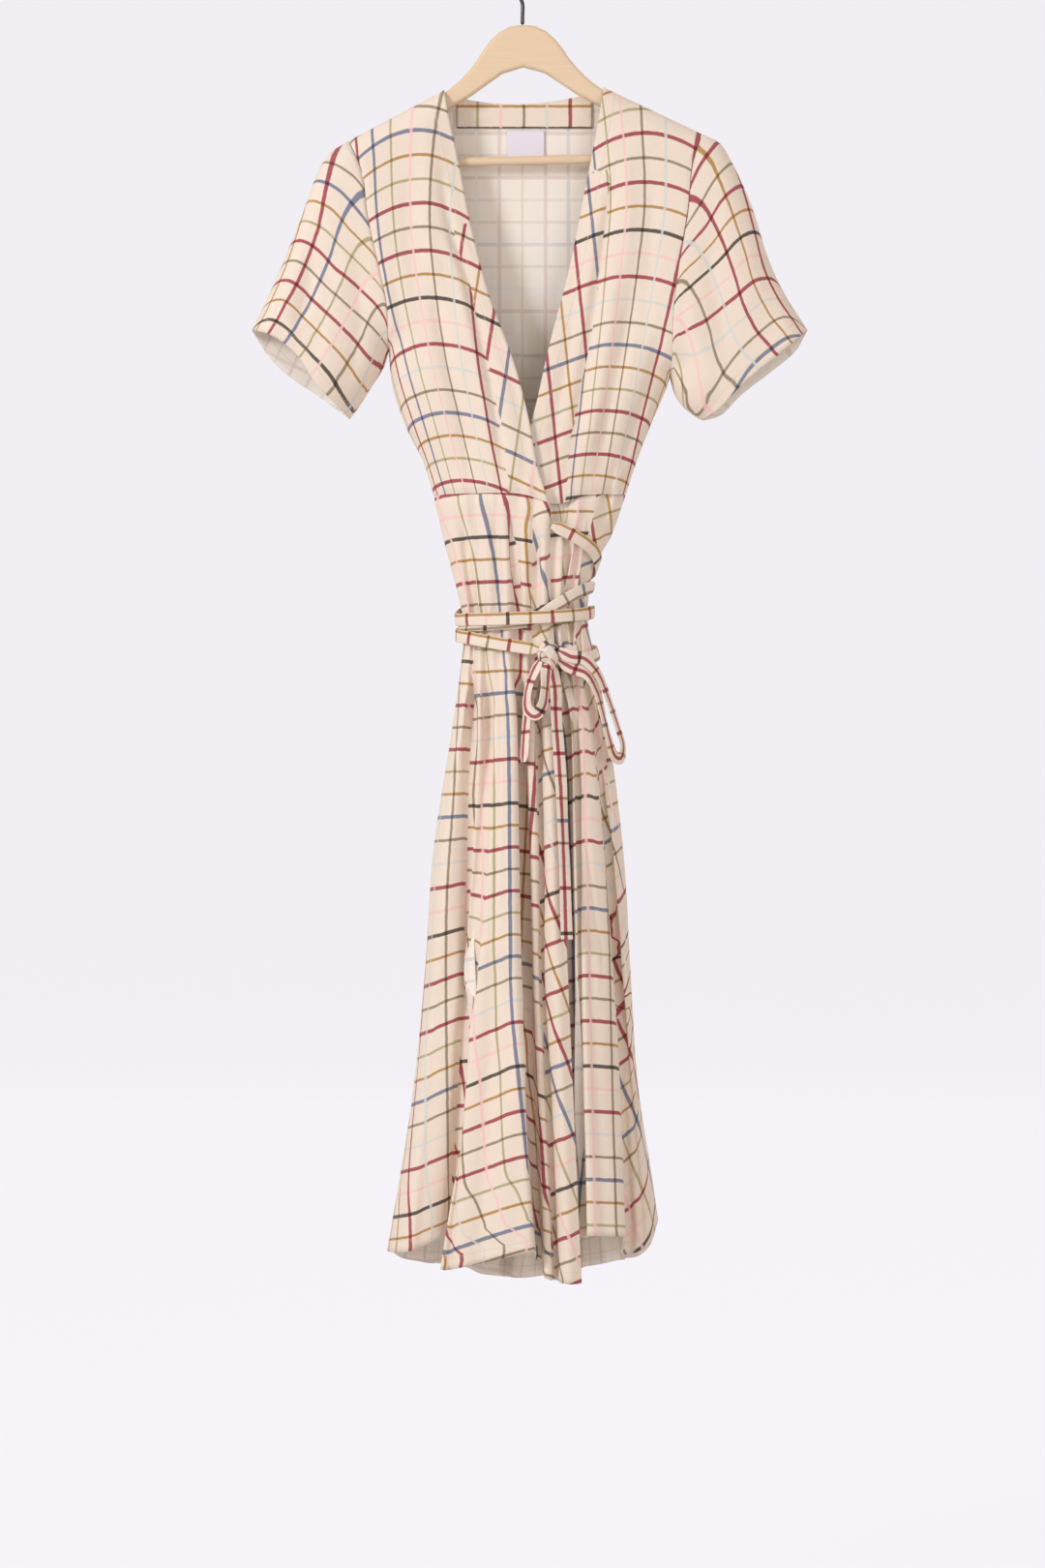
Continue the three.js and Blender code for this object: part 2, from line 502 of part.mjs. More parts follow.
// Short sleeve: a flattened tube from the armhole to a slanting hem
function sleeve(side) {
  const edges = side === 'left' ? SLEEVE_LEFT : SLEEVE_RIGHT;
  const outer = side === 'left' ? EDGE_LEFT : EDGE_RIGHT;
  const { tip, notch } = SHOULDER[side];
  const armhole = (s) => {
    const drop = mix(tip[1], notch[1], s);
    return [column(outer, 'across', drop), drop];
  };
  const patch = (s, w, hem) => [0, 1].map((axis) => {
    const top = alongPath(edges.top, w)[axis];
    const under = alongPath(edges.under, w)[axis];
    const start = armhole(s)[axis];
    const end = alongPath(hem, s)[axis];
    const corners = mix(mix(armhole(0)[axis], armhole(1)[axis], s),
      mix(alongPath(hem, 0)[axis], alongPath(hem, 1)[axis], s), w);
    return mix(top, under, s) + mix(start, end, w) - corners;
  });
  const rows = [];
  for (let i = 0; i <= SLEEVE_ROWS; i += 1) {
    const row = [];
    for (let j = 0; j < 2 * SLEEVE_COLUMNS; j += 1) {
      const front = j < SLEEVE_COLUMNS;
      const turn = (j % SLEEVE_COLUMNS) / SLEEVE_COLUMNS;
      const part = front ? turn : 1 - turn;
      const s = (1 - Math.cos(part * Math.PI)) / 2;
      const gap = 0.012 + 0.05 * s ** 5;
      const w = gap + (1 - gap) * (i / SLEEVE_ROWS);
      const [across, drop] = patch(s, w, front ? edges.frontHem : edges.backHem);
      const depth = bodiceDepth(side, across, drop, front ? 'front' : 'back');
      row.push([across, front ? -depth : depth, -drop]);
    }
    rows.push(row);
  }
  return wallGeometry(rows, CLOTH, { ring: true });
}

// Skirt: half depth of the envelope at a place
function envelope(across, drop, face) {
  const left = column(SKIRT_OUTLINE, 'left', drop);
  const right = column(SKIRT_OUTLINE, 'right', drop);
  const centre = (left + right) / 2;
  const half = (right - left) / 2;
  const q = clamp((across - centre) / half, -1, 1);
  return column(SKIRT_OUTLINE, face, drop) * Math.sqrt(1 - q * q);
}

// A place on one fold line at a fraction of its length, as across, depth inside the envelope, drop
function foldPoint(fold, v, top, face) {
  const stops = [WAIST, BELT, HIP, KNEE, fold.hem];
  const drop = mix(top(fold.across[0]), fold.hem, v);
  const across = smoothAt(stops, fold.across, drop);
  const waistInside = fold.inside[0] * 0.3;
  const inside = smoothAt(stops, [waistInside, ...fold.inside], drop);
  return [across, Math.max(envelope(across, drop, face) - inside, 0), drop];
}

// Skirt panel from a table of folds. Its side edges that are sewn lie in the plane y = 0, and there
// the wall turns square to that plane.
function skirtPanel(folds, face, { sewnStart, sewnEnd, dip = true }) {
  const sign = face === 'front' ? -1 : 1;
  const top = (across) => (dip ? waistDrop(across) : WAIST) + SEAM_GAP;
  const rows = SKIRT_ROWS.map((v) => {
    const points = folds.map((fold, k) => {
      const sewn = (k === 0 && sewnStart) || (k === folds.length - 1 && sewnEnd);
      const point = foldPoint(fold, v, top, face);
      if (sewn) {
        point[0] = column(SKIRT_OUTLINE, fold.across[0] < 0 ? 'left' : 'right', point[2]);
        point[1] = 0;
      }
      return point;
    });
    const turn = (edge, inner) => {
      const across = mix(edge[0], inner[0], SIDE_TURN);
      const drop = mix(edge[2], inner[2], SIDE_TURN);
      return [across, envelope(across, drop, face), drop];
    };
    if (sewnStart) points.splice(1, 0, turn(points[0], points[1]));
    if (sewnEnd) points.splice(points.length - 1, 0, turn(points.at(-1), points.at(-2)));
    const row = [];
    const stops = points.map((point, k) => k);
    const steps = (points.length - 1) * STEPS_PER_FOLD;
    for (let j = 0; j <= steps; j += 1) {
      const at = j / STEPS_PER_FOLD;
      const [across, depth, drop] = [0, 1, 2].map((axis) => smoothAt(stops, points.map((p) => p[axis]), at));
      row.push([across, sign * (SEAM_GAP / 2 + Math.max(depth, 0)), -drop]);
    }
    return row;
  });
  const seams = { first: 'z' };
  if (sewnStart) seams.start = 'y';
  if (sewnEnd) seams.end = 'y';
  return wallGeometry(rows, CLOTH, { seams });
}

add('bodice_front_over', bodiceFront('left'), cloth);
add('bodice_front_under', bodiceFront('right'), cloth);
add('bodice_back', bodiceBack(), cloth);
add('sleeve_left', sleeve('left'), cloth);
add('sleeve_right', sleeve('right'), cloth);
add('skirt_front_over', skirtPanel(OVER_FOLDS, 'front', { sewnStart: true }), cloth);
add('skirt_front_under', skirtPanel(UNDER_FOLDS, 'front', { sewnStart: true }), cloth);
add('skirt_back', skirtPanel(BACK_FOLDS, 'back', { sewnStart: true, sewnEnd: true, dip: false }), cloth);

// Flat piece sewn on the inner side of the back, following it
function onBack(left, right, topAt, bottom, thickness, columns, rowCount, room) {
  const rows = [];
  for (let i = 0; i <= rowCount; i += 1) {
    const row = [];
    for (let j = 0; j <= columns; j += 1) {
      const across = mix(left, right, j / columns);
      const drop = mix(topAt(across), bottom, i / rowCount);
      const depth = bodiceDepth(across < 0 ? 'left' : 'right', across, drop, 'back');
      row.push([across, SEAM_GAP / 2 + depth - HALF - LAYER_GAP - room - thickness / 2, -drop]);
    }
    rows.push(row);
  }
  return wallGeometry(rows, thickness);
}
const facingTop = (across) => column(BACK_NECK, 'drop', across, 'across') + NECK_FACING.inset;
add('back_neck_facing',
  onBack(NECK_FACING.left, NECK_FACING.right, facingTop, NECK_FACING.bottom, FACING, 14, 2, LAY_ROOM), cloth);
const labelTop = () => LABEL.top;
add('label',
  onBack(LABEL.left, LABEL.right, labelTop, LABEL.bottom, LABEL.thick, 4, 3, 0), labelCloth);

// Point on the skirt's envelope at an angle round the body and a drop, moved out
function aroundBody(turn, drop, out) {
  const left = column(SKIRT_OUTLINE, 'left', drop);
  const right = column(SKIRT_OUTLINE, 'right', drop);
  const angle = THREE.MathUtils.degToRad(turn);
  const face = Math.sin(angle) >= 0 ? 'front' : 'back';
  const depth = column(SKIRT_OUTLINE, face, drop) + out;
  return new THREE.Vector3(
    (left + right) / 2 + ((right - left) / 2 + out) * Math.cos(angle), -depth * Math.sin(angle), -drop);
}

// Solid strip through frames of a centre, a flat direction and a facing direction
function strip(frames) {
  const vertices = [];
  for (const { centre, wide, facing } of frames) {
    for (const [w, t] of [[-1, -1], [1, -1], [1, 1], [-1, 1]]) {
      const corner = centre.clone().addScaledVector(wide, (w * TIE_WIDTH) / 2)
        .addScaledVector(facing, (t * TIE_THICK) / 2);
      vertices.push(corner.x, corner.y, corner.z);
    }
  }
  const index = [0, 2, 1, 0, 3, 2];
  for (let i = 0; i < frames.length - 1; i += 1) {
    for (let k = 0; k < 4; k += 1) {
      const [a, b] = [4 * i + k, 4 * i + ((k + 1) % 4)];
      index.push(a, b, b + 4, a, b + 4, a + 4);
    }
  }
  const end = 4 * (frames.length - 1);
  index.push(end, end + 1, end + 2, end, end + 2, end + 3);
  const geometry = new THREE.BufferGeometry();
  geometry.setAttribute('position', new THREE.Float32BufferAttribute(vertices, 3));
  geometry.setIndex(index);
  return outward(geometry);
}

// Frames along a route, each with its flat side turned to a given direction
function framesAlong(centres, facings) {
  return centres.map((centre, i) => {
    const before = centres[Math.max(i - 1, 0)];
    const after = centres[Math.min(i + 1, centres.length - 1)];
    const tangent = after.clone().sub(before).normalize();
    const facing = facings[i].clone().addScaledVector(tangent, -facings[i].dot(tangent)).normalize();
    return { centre, facing, wide: tangent.clone().cross(facing) };
  });
}

// Tie wound round the waist, lying on the skirt's folds
function woundTie(table) {
  const stops = table.map((row, k) => k);
  const columnAt = (name, at) => smoothAt(stops, table.map((row) => row[name]), at);
  const steps = table.length * 3;
  const centres = [];
  const facings = [];
  for (let i = 0; i <= steps; i += 1) {
    const at = (i / steps) * (table.length - 1);
    const [turn, drop, layer] = ['turn', 'drop', 'layer'].map((name) => columnAt(name, at));
    const out = HALF + LAYER_GAP + RIDGE_ROOM + TIE_THICK / 2 + layer * (TIE_THICK + LAYER_GAP);
    const centre = aroundBody(turn, drop, out);
    const round = aroundBody(turn + 1, drop, out).sub(aroundBody(turn - 1, drop, out));
    const down = aroundBody(turn, drop + 3, out).sub(aroundBody(turn, drop - 3, out));
    centres.push(centre);
    facings.push(down.cross(round).normalize());
  }
  return strip(framesAlong(centres, facings));
}

// Free end or loop of a tie along its own route
function freeTie(table) {
  const route = new THREE.CatmullRomCurve3(
    table.map(({ across, front, drop }) => new THREE.Vector3(across, -front, -drop)), false, 'centripetal');
  const steps = Math.round(route.getLength() / TIE_STEP);
  const centres = [];
  const facings = [];
  const stops = table.map((row, k) => k);
  for (let i = 0; i <= steps; i += 1) {
    const at = route.getUtoTmapping(i / steps);
    const face = THREE.MathUtils.degToRad(
      smoothAt(stops, table.map((row) => row.face), at * (table.length - 1)));
    centres.push(route.getPoint(at));
    facings.push(new THREE.Vector3(Math.sin(face), -Math.cos(face), 0));
  }
  return strip(framesAlong(centres, facings));
}

function knot() {
  const geometry = new THREE.SphereGeometry(0.5, 12, 8);
  geometry.rotateX(Math.PI / 2);
  geometry.scale(...KNOT.size);
  return geometry;
}
add('tie_over', woundTie(OVER_TIE), cloth);
add('tie_under', woundTie(UNDER_TIE), cloth);
add('tie_knot', knot(), cloth).position.set(KNOT.across, -KNOT.front, -KNOT.drop);
add('bow_loop', freeTie(BOW_LOOP), cloth);
add('small_loop', freeTie(SMALL_LOOP), cloth);
add('long_tail', freeTie(LONG_TAIL), cloth);
add('short_tail', freeTie(SHORT_TAIL), cloth);

// Wooden hanger, tilted a little about its hook's seat
const hanger = new THREE.Group();
hanger.position.z = -HANGER.top;
hanger.rotation.y = -HANGER.tilt;
dress.add(hanger);

function hangerBody() {
  const half = [...ARM_TOP, ...ARM_TIP, ...ARM_UNDER];
  const right = half.map(([across, below]) => new THREE.Vector2(across, -below));
  const left = half.slice(1, -1).reverse().map(([across, below]) => new THREE.Vector2(-across, -below));
  const outline = new THREE.Shape([...right, ...left]);
  const geometry = new THREE.ExtrudeGeometry(outline, {
    depth: HANGER.thick - 2 * HANGER.round,
    bevelEnabled: true,
    bevelThickness: HANGER.round,
    bevelSize: HANGER.round,
    bevelOffset: -HANGER.round,
    bevelSegments: 3,
    curveSegments: 1,
  });
  geometry.translate(0, 0, HANGER.round - HANGER.thick / 2);
  geometry.rotateX(Math.PI / 2);
  return geometry;
}
add('hanger_body', hangerBody(), wood, hanger);

// Round trouser bar between the arms' ends
const armEnd = (ARM_UNDER[0][0] + ARM_TIP[ARM_TIP.length - 1][0]) / 2;
const barRadius = HANGER.bar.diameter / 2;
const barLength = 2 * (armEnd - HANGER.bar.gap);
const bar = new THREE.CylinderGeometry(barRadius, barRadius, barLength, HANGER.bar.sides);
bar.rotateZ(Math.PI / 2);
add('hanger_bar', bar, wood, hanger).position.z = -HANGER.bar.drop;

// Wire hook: an upright stem on the wood, then most of a circle whose inner top is the origin
const HOOK_POINTS = 10;
const HOOK_STEPS = 34;
function hook() {
  const { wire: thick, inner, stem, neck, bend, first, last } = HANGER.hook;
  const radius = inner + thick / 2;
  const route = [[0, -HANGER.top + SEAM_GAP], [0, -stem], [neck[0], -neck[1]], [bend[0], -bend[1]]];
  for (let i = 0; i <= HOOK_POINTS; i += 1) {
    const angle = THREE.MathUtils.degToRad(mix(first, last - 360, i / HOOK_POINTS));
    route.push([radius * Math.cos(angle), radius * Math.sin(angle) - inner]);
  }
  const path = new THREE.CatmullRomCurve3(
    route.map(([across, height]) => new THREE.Vector3(across, 0, height)), false, 'centripetal');
  const section = new THREE.Shape();
  section.absarc(0, 0, thick / 2, 0, 2 * Math.PI);
  return new THREE.ExtrudeGeometry(section, { steps: HOOK_STEPS, extrudePath: path, curveSegments: 4 });
}
add('hanger_hook', hook(), wire);

export default dress;
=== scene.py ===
"""Wrap dress in a light woven check, hanging on a wooden hanger: its looks, built round the CAD frame.

Sizes in the tables are millimetres. A "drop" is a distance below the origin, "across" a distance to the
viewer's right of the hook's line, and the front faces -Y. Meshes are turned to metres when they are made.
The forms repeat the CAD part's own tables, on finer grids, with the small creases laid on one by one.
"""
import math

import bmesh
import bpy
import numpy as np
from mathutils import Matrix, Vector


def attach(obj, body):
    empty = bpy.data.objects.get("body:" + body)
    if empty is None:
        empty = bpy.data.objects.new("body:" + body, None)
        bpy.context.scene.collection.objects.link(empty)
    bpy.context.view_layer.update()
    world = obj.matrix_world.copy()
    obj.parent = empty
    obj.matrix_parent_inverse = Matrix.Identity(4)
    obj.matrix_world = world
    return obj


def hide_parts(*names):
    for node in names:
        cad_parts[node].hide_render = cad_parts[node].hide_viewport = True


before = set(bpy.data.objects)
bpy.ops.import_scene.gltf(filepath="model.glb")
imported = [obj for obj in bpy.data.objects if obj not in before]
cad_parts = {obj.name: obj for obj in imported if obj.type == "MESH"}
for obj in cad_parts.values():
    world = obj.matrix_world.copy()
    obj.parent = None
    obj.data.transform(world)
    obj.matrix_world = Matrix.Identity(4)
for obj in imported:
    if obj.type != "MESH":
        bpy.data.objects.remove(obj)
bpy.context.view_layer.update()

MM = 0.001
# The cloth's wall, the gaps at seams and between layers as in the CAD part, and how seams draw in
CLOTH, SEAM_GAP, HALF_WALL, LAYER_GAP = 0.9, 0.5, 0.75, 0.4
WAIST_GAP, WAIST_PULL, PULL_REACH = 0.15, 2.4, 5
SEAM_SINK, SINK_REACH = 0.9, 3
WAIST, BELT, HIP, KNEE = 570, 700, 818, 1058
SKIRT_LENGTH, SLEEVE_LENGTH = 790, 190
EDGE_SLACK = 0.05
HEM_TURN, STITCH_HALF = 12, 0.45
FACING_SIDES, FACING_DROP, FACING_WALL, FACING_ROOM = (-68, 72), 188, 1.0, 0.7
LABEL_SIDES, LABEL_DROPS, LABEL_WALL = (-16, 23), (190.5, 226), 0.7
BACK_ROW_AT, FACING_CROSSING = 285, (22.5, 165.5)
# Gathers at the waist and ripples down the skirt: how many, and the ranges that they are drawn from
GATHERS, GATHER_PLACES, GATHER_WIDTH, GATHER_HEIGHT = 34, (-95, 110), (2.2, 4.6), (0.6, 2.0)
GATHER_UP, GATHER_DOWN, GATHER_LEAN = (18, 75), (30, 105), (-0.06, 0.06)
RIPPLES, RIPPLE_PLACES, RIPPLE_WIDTH, RIPPLE_HEIGHT = 16, (0.03, 0.97), (0.008, 0.02), (0.5, 1.3)
RIPPLE_DROPS, RIPPLE_LEAN = (640, 1380), (-0.02, 0.02)
SIDES = ("left", "right")


# Tables of the dress, as in the CAD part. The bow's two loops are turned and narrowed a little more.
def table(names, *rows):
    """Columns by name from rows of numbers."""
    return {name: np.array([row[k] for row in rows], float) for k, name in enumerate(names.split())}


SHOULDER = {
    "left": {"neck": (-82, 152.5), "tip": (-179, 204), "notch": (-138, 419)},
    "right": {"neck": (85, 149.5), "tip": (185, 197), "notch": (152, 446)},
}
BACK_NECK = table("across drop", (-82, 152.5), (-53, 159), (-24, 162.6), (2, 162.8), (28, 160.4),
                  (48, 157), (85, 149.5))
EDGE = {
    "left": table("drop across", (204, -179), (239, -165), (284, -159), (334, -148), (376, -139.5),
                  (419, -138), (461, -133), (504, -118), (533, -103), (570, -91)),
    "right": table("drop across", (197, 185), (232, 174.5), (280, 170), (339, 160), (386, 154.5),
                   (446, 152), (474, 142), (507, 128), (545, 114), (570, 106)),
}
NECK_EDGE = {
    "left": table("drop across", (152, -81), (185, -75), (231, -65), (289, -54), (367, -34), (433, -10),
                  (490, 5), (548, 16), (581, 27)),
    "right": table("drop across", (149, 84), (191, 77), (258, 64), (338, 48), (423, 26), (488, 11),
                   (536, -6), (571, -24)),
}
SLEEVE = {
    "left": {
        "top": [(-179, 204), (-199, 217), (-212, 238), (-228, 282), (-246, 327), (-262, 364), (-279, 400)],
        "under": [(-138, 419), (-144, 438), (-156, 457), (-167, 475), (-179, 491)],
        "front": [(-279, 400), (-252, 411), (-230, 430), (-212, 458), (-194, 476), (-179, 491)],
        "back": [(-279, 400), (-262, 426), (-239, 447), (-215, 463), (-196, 477), (-179, 491)],
    },
    "right": {
        "top": [(185, 197), (203, 206), (215, 224), (236, 270), (253, 324), (268, 358), (294, 400)],
        "under": [(152, 446), (158, 466), (166, 478), (180, 489), (187, 492)],
        "front": [(294, 400), (277, 416), (253, 436), (225, 459), (203, 482), (187, 492)],
        "back": [(294, 400), (284, 418), (258, 440), (228, 463), (206, 485), (187, 492)],
    },
}
DEPTHS = table("drop front back", (150, 16, 16), (230, 19, 18), (340, 27, 21), (430, 34, 26),
               (500, 38, 31), (570, 38, 34))
SHOULDER_ROLL = 24
UNDERARM_ROLL = 52
LAP = {"left": 3.2, "right": -3.2}
CURL_DEPTH, CURL_REACH = 7, 26
WAIST_DIP = (11, 34, 24)
SKIRT_OUTLINE = table(
    "drop left right front back",
    (570, -91, 106, 38, 34), (612, -82, 91, 37, 34), (642, -74, 74, 36, 34), (665, -68, 69, 35.5, 34),
    (700, -61, 67, 35, 34), (744, -63, 76, 38, 39), (818, -73.5, 89, 47, 50), (940, -92, 104, 62, 66),
    (1058, -100, 111, 74, 78), (1180, -112, 119, 85, 90), (1278, -127, 134, 93, 97),
    (1380, -145, 148, 97, 102))
# Folds: across at the waist, belt, hip, knee and hem; depth inside the envelope at the belt, hip, knee
# and hem; drop at the hem
OVER_FOLDS = [
    ((-91, -60.5, -73, -100, -140), (0, 0, 0, 0), 1350), ((-81, -55, -64, -87, -113), (0, -2, -3, 0), 1344),
    ((-68, -50, -56, -61, -75), (5, 8, 19, 36), 1331), ((-58, -45, -46, -57, -76), (0, 1, 12, 30), 1336),
    ((-47, -39, -36, -54, -78), (5, 9, 12, 16), 1350), ((-39, -34, -29, -47, -81), (1, 1, 1, 0), 1361),
    ((-29, -25, -20, -28, -35), (4, 3, 2, 2), 1351), ((-17, -16, -11, -9, 12), (-1, -4, -6, -5), 1340),
    ((-6, -7, 1, 5, 17), (5, 13, 26, 32), 1352), ((3, 1, 9, 13, 26), (1, 5, 13, 15), 1369),
    ((11, 9, 14, 18, 31), (5, 10, 20, 22), 1372), ((19, 22, 26, 33, 46), (0, 1, 3, 4), 1374),
    ((27, 32, 37, 46, 60), (1, 2, 5, 6), 1374),
]
UNDER_FOLDS = [
    ((106, 67, 89, 111, 139), (0, 0, 0, 0), 1318), ((97, 62, 82, 104, 128), (0, 0, 2, 4), 1342),
    ((88, 58, 76, 96, 102), (4, 7, 20, 34), 1350), ((78, 54, 72, 92, 108), (0, 1, 3, 4), 1331),
    ((68, 50, 66, 78, 85), (3, 1, 1, 0), 1327), ((60, 46, 58, 62, 66), (0, 2, 3, 3), 1326),
    ((53, 42, 55, 58, 61), (4, 6, 9, 10), 1327), ((46, 38, 50, 55, 58), (2, 5, 8, 14), 1329),
    ((36, 30, 42, 46, 50), (9, 17, 22, 30), 1331), ((18, 14, 22, 22, 26), (11, 20, 34, 42), 1335),
    ((-4, -6, -4, -6, -6), (11, 22, 37, 44), 1336), ((-24, -24, -26, -32, -36), (11, 22, 37, 46), 1334),
]
BACK_FOLDS = [
    ((-91, -60.5, -73, -100, -140), (0, 0, 0, 0), 1350), ((-82, -54, -65, -91, -124), (0, -1, -2, 0), 1364),
    ((-71, -48, -55, -74, -94), (4, 9, 18, 30), 1368), ((-58, -40, -44, -53, -68), (0, 0, -2, -4), 1377),
    ((-45, -31, -33, -37, -42), (5, 10, 21, 33), 1382), ((-30, -22, -20, -17, -16), (0, -2, -4, -6), 1390),
    ((-15, -12, -9, -2, 4), (5, 12, 25, 35), 1386), ((0, -3, 3, 13, 23), (0, 0, 0, -2), 1388),
    ((14, 6, 14, 29, 43), (4, 8, 16, 26), 1381), ((30, 16, 28, 46, 65), (0, -2, -4, -6), 1379),
    ((46, 27, 41, 62, 86), (5, 10, 22, 33), 1369), ((62, 37, 55, 77, 105), (0, -1, -2, -2), 1367),
    ((78, 47, 67, 91, 121), (4, 7, 13, 17), 1360), ((94, 58, 80, 103, 133), (0, 0, 1, 2), 1348),
    ((106, 67, 89, 111, 139), (0, 0, 0, 0), 1318),
]
SIDE_TURN = 0.2
OVER_TIE = table(
    "turn drop layer", (75, 603, 0), (40, 624, 0), (0, 644, 0), (-60, 660, 0), (-120, 679, 0.3),
    (-150, 690, 1.2), (-180, 698, 1.5), (-225, 699, 1.4), (-270, 698, 1.3), (-320, 694, 1.3),
    (-360, 690, 1.2), (-420, 696, 1.3), (-480, 708, 1.4), (-540, 714, 1.5), (-575, 718, 1.4),
    (-601, 723, 1.5), (-625, 728, 1.6), (-638, 731, 2.2))
UNDER_TIE = table(
    "turn drop layer", (3, 663, 0), (35, 670, 0), (62, 685, 0), (84, 700, 0), (120, 704, 0), (180, 706, 0),
    (225, 711, 0), (270, 719, 0), (315, 727, 0), (360, 732, 0), (398, 739, 0.6), (428, 738, 2))
RIDGE_ROOM = 2.7
TIE_WIDTH, TIE_THICK, TIE_WALL = 13, 1.8, 0.4
KNOT_AT, KNOT_SIZE = (25, -47, -734), (17.4, 16, 21)
BOW_LOOP = table(
    "across drop front face", (36.8, 731.5, 49.5, 0), (50, 738, 49, 15), (63, 740, 45, 35),
    (77, 755, 40, 58), (88, 782, 36, 66), (98, 811, 33, 68), (103, 830, 32, 64), (100, 842, 34, 48),
    (94, 839, 38, 50), (88, 820, 41, 64), (82, 796, 42, 66), (75, 772, 43, 60), (65, 755, 43, 35),
    (50, 749, 45, 8), (37, 741.5, 46.7, 0))
SMALL_LOOP = table(
    "across drop front face", (18, 742.5, 50.5, -35), (10, 759, 51, -52), (5, 778, 52, -55),
    (6, 792, 54, -35), (13, 797, 57, 0), (20, 789, 60, 35), (23, 772, 60, 50), (24, 755, 56, 30),
    (25, 745.5, 52, 0))
LONG_TAIL = table(
    "across drop front face", (29.5, 746, 44, 10), (34, 772, 48, 20), (34.5, 800, 50, 30),
    (37, 831, 53, 25), (39, 860, 56, 20), (41, 905, 61, 35), (43, 960, 67, 30), (45, 1026, 74, 20))
SHORT_TAIL = table(
    "across drop front face", (15.5, 748, 42.5, -20), (11, 765, 43.5, -35), (6, 790, 46, -45),
    (3, 815, 51, -50), (1, 846, 57, -45))
HANGER_TOP, HANGER_THICK, HANGER_ROUND, HANGER_TILT = 84, 12, 4, math.radians(-1.1)
ARM = [(0, 0), (13, 1.5), (24, 7), (33, 15), (41, 25), (48, 36), (56, 46), (66, 56.5), (82, 69),
       (177, 117), (184, 122), (187, 130), (187, 145), (182, 152), (173, 152), (167, 146),
       (163, 129), (76, 84), (54, 72), (38, 61), (22, 50), (0, 43.5)]
BAR_RADIUS, BAR_HALF, BAR_DROP, BAR_STEPS = 4.75, 164.1, 140, 28
WIRE, HOOK_INNER, HOOK_STEM, HOOK_NECK, HOOK_BEND = 4, 20, 75, (0, 62), (-3, 54)
HOOK_FIRST, HOOK_LAST, HOOK_POINTS = -118, 18, 10


# Curves and forms shared by the pieces
def lengths_along(points):
    """Length of a path of straight pieces up to each of its points."""
    return np.concatenate([[0], np.cumsum(np.linalg.norm(np.diff(points, axis=0), axis=1))])


def cubic(t, start, start_slope, end, end_slope):
    """Cubic piece from its ends and the slopes there."""
    return ((2 * t**3 - 3 * t**2 + 1) * start + (t**3 - 2 * t**2 + t) * start_slope
            + (3 * t**2 - 2 * t**3) * end + (t**3 - t**2) * end_slope)


def smooth_at(stops, values, at):
    """Smooth curve through (stops, values): cubic pieces, a slope at a stop being that between its
    neighbours."""
    stops, values = np.asarray(stops, float), np.asarray(values, float)
    last = len(stops) - 1
    at = np.clip(np.asarray(at, float), stops[0], stops[last])
    i = np.clip(np.searchsorted(stops, at) - 1, 0, last - 1)
    every = np.arange(last + 1)
    before, after = np.maximum(every - 1, 0), np.minimum(every + 1, last)
    slope = (values[after] - values[before]) / (stops[after] - stops[before])
    span = stops[i + 1] - stops[i]
    t = (at - stops[i]) / span
    return cubic(t, values[i], span * slope[i], values[i + 1], span * slope[i + 1])


def column(rows, name, at, key="drop"):
    return smooth_at(rows[key], rows[name], at)


def along_path(points, part):
    """Points at fractions of the length of a smooth path through 2-D points."""
    points = np.asarray(points, float)
    lengths = lengths_along(points)
    at = np.asarray(part) * lengths[-1]
    return np.stack([smooth_at(lengths, points[:, 0], at), smooth_at(lengths, points[:, 1], at)], -1)


def nearest_on(points, across, drop):
    """Shortest distance from places to a path of straight pieces, and the part of the path it is at."""
    best = np.full(np.broadcast(across, drop).shape, 1e9)
    part = np.zeros(best.shape)
    for k, ((ax, ay), (bx, by)) in enumerate(zip(points[:-1], points[1:])):
        length2 = (bx - ax) ** 2 + (by - ay) ** 2
        t = np.clip(((across - ax) * (bx - ax) + (drop - ay) * (by - ay)) / length2, 0, 1)
        away = np.hypot(across - ax - t * (bx - ax), drop - ay - t * (by - ay))
        nearer = away < best
        best, part = np.where(nearer, away, best), np.where(nearer, (k + t) / (len(points) - 1), part)
    return best, part


def distance_to(points, across, drop):
    return nearest_on(points, across, drop)[0]


def roll(distance, reach):
    return np.sqrt(1 - (1 - np.minimum(distance / reach, 1)) ** 2)


def ease(part):
    t = np.clip(part, 0, 1)
    return t * t * (3 - 2 * t)


def mix(a, b, t):
    return a + (b - a) * t


EDGE_STEPS = np.linspace(0, 1, 41)


def edge_paths(side):
    notch_drop = SHOULDER[side]["notch"][1]
    drops = mix(notch_drop, WAIST, EDGE_STEPS)
    return {
        "top": np.vstack([SHOULDER[side]["neck"], along_path(SLEEVE[side]["top"], EDGE_STEPS)]),
        "seam": np.stack([column(EDGE[side], "across", drops), drops], -1),
        "under": along_path(SLEEVE[side]["under"], EDGE_STEPS),
    }


EDGE_PATHS = {side: edge_paths(side) for side in SIDES}
WAIST_WIDTH = SKIRT_OUTLINE["right"][0] - SKIRT_OUTLINE["left"][0]


def bodice_depth(side, across, drop, face):
    """Half depth of the bodice or sleeve, rolled over the shoulder, the sleeve's fold and the side."""
    paths = EDGE_PATHS[side]
    notch_drop = SHOULDER[side]["notch"][1]
    reach = mix(UNDERARM_ROLL, WAIST_WIDTH / 2, ease((drop - notch_drop) / (WAIST - notch_drop)))
    beyond = np.abs(across) - np.abs(column(EDGE[side], "across", drop)) > EDGE_SLACK
    top, seam, under = (distance_to(paths[name], across, drop) for name in ("top", "seam", "under"))
    inner = np.where(beyond, under, seam)
    return column(DEPTHS, face, drop) * roll(top, SHOULDER_ROLL) * roll(inner, reach)


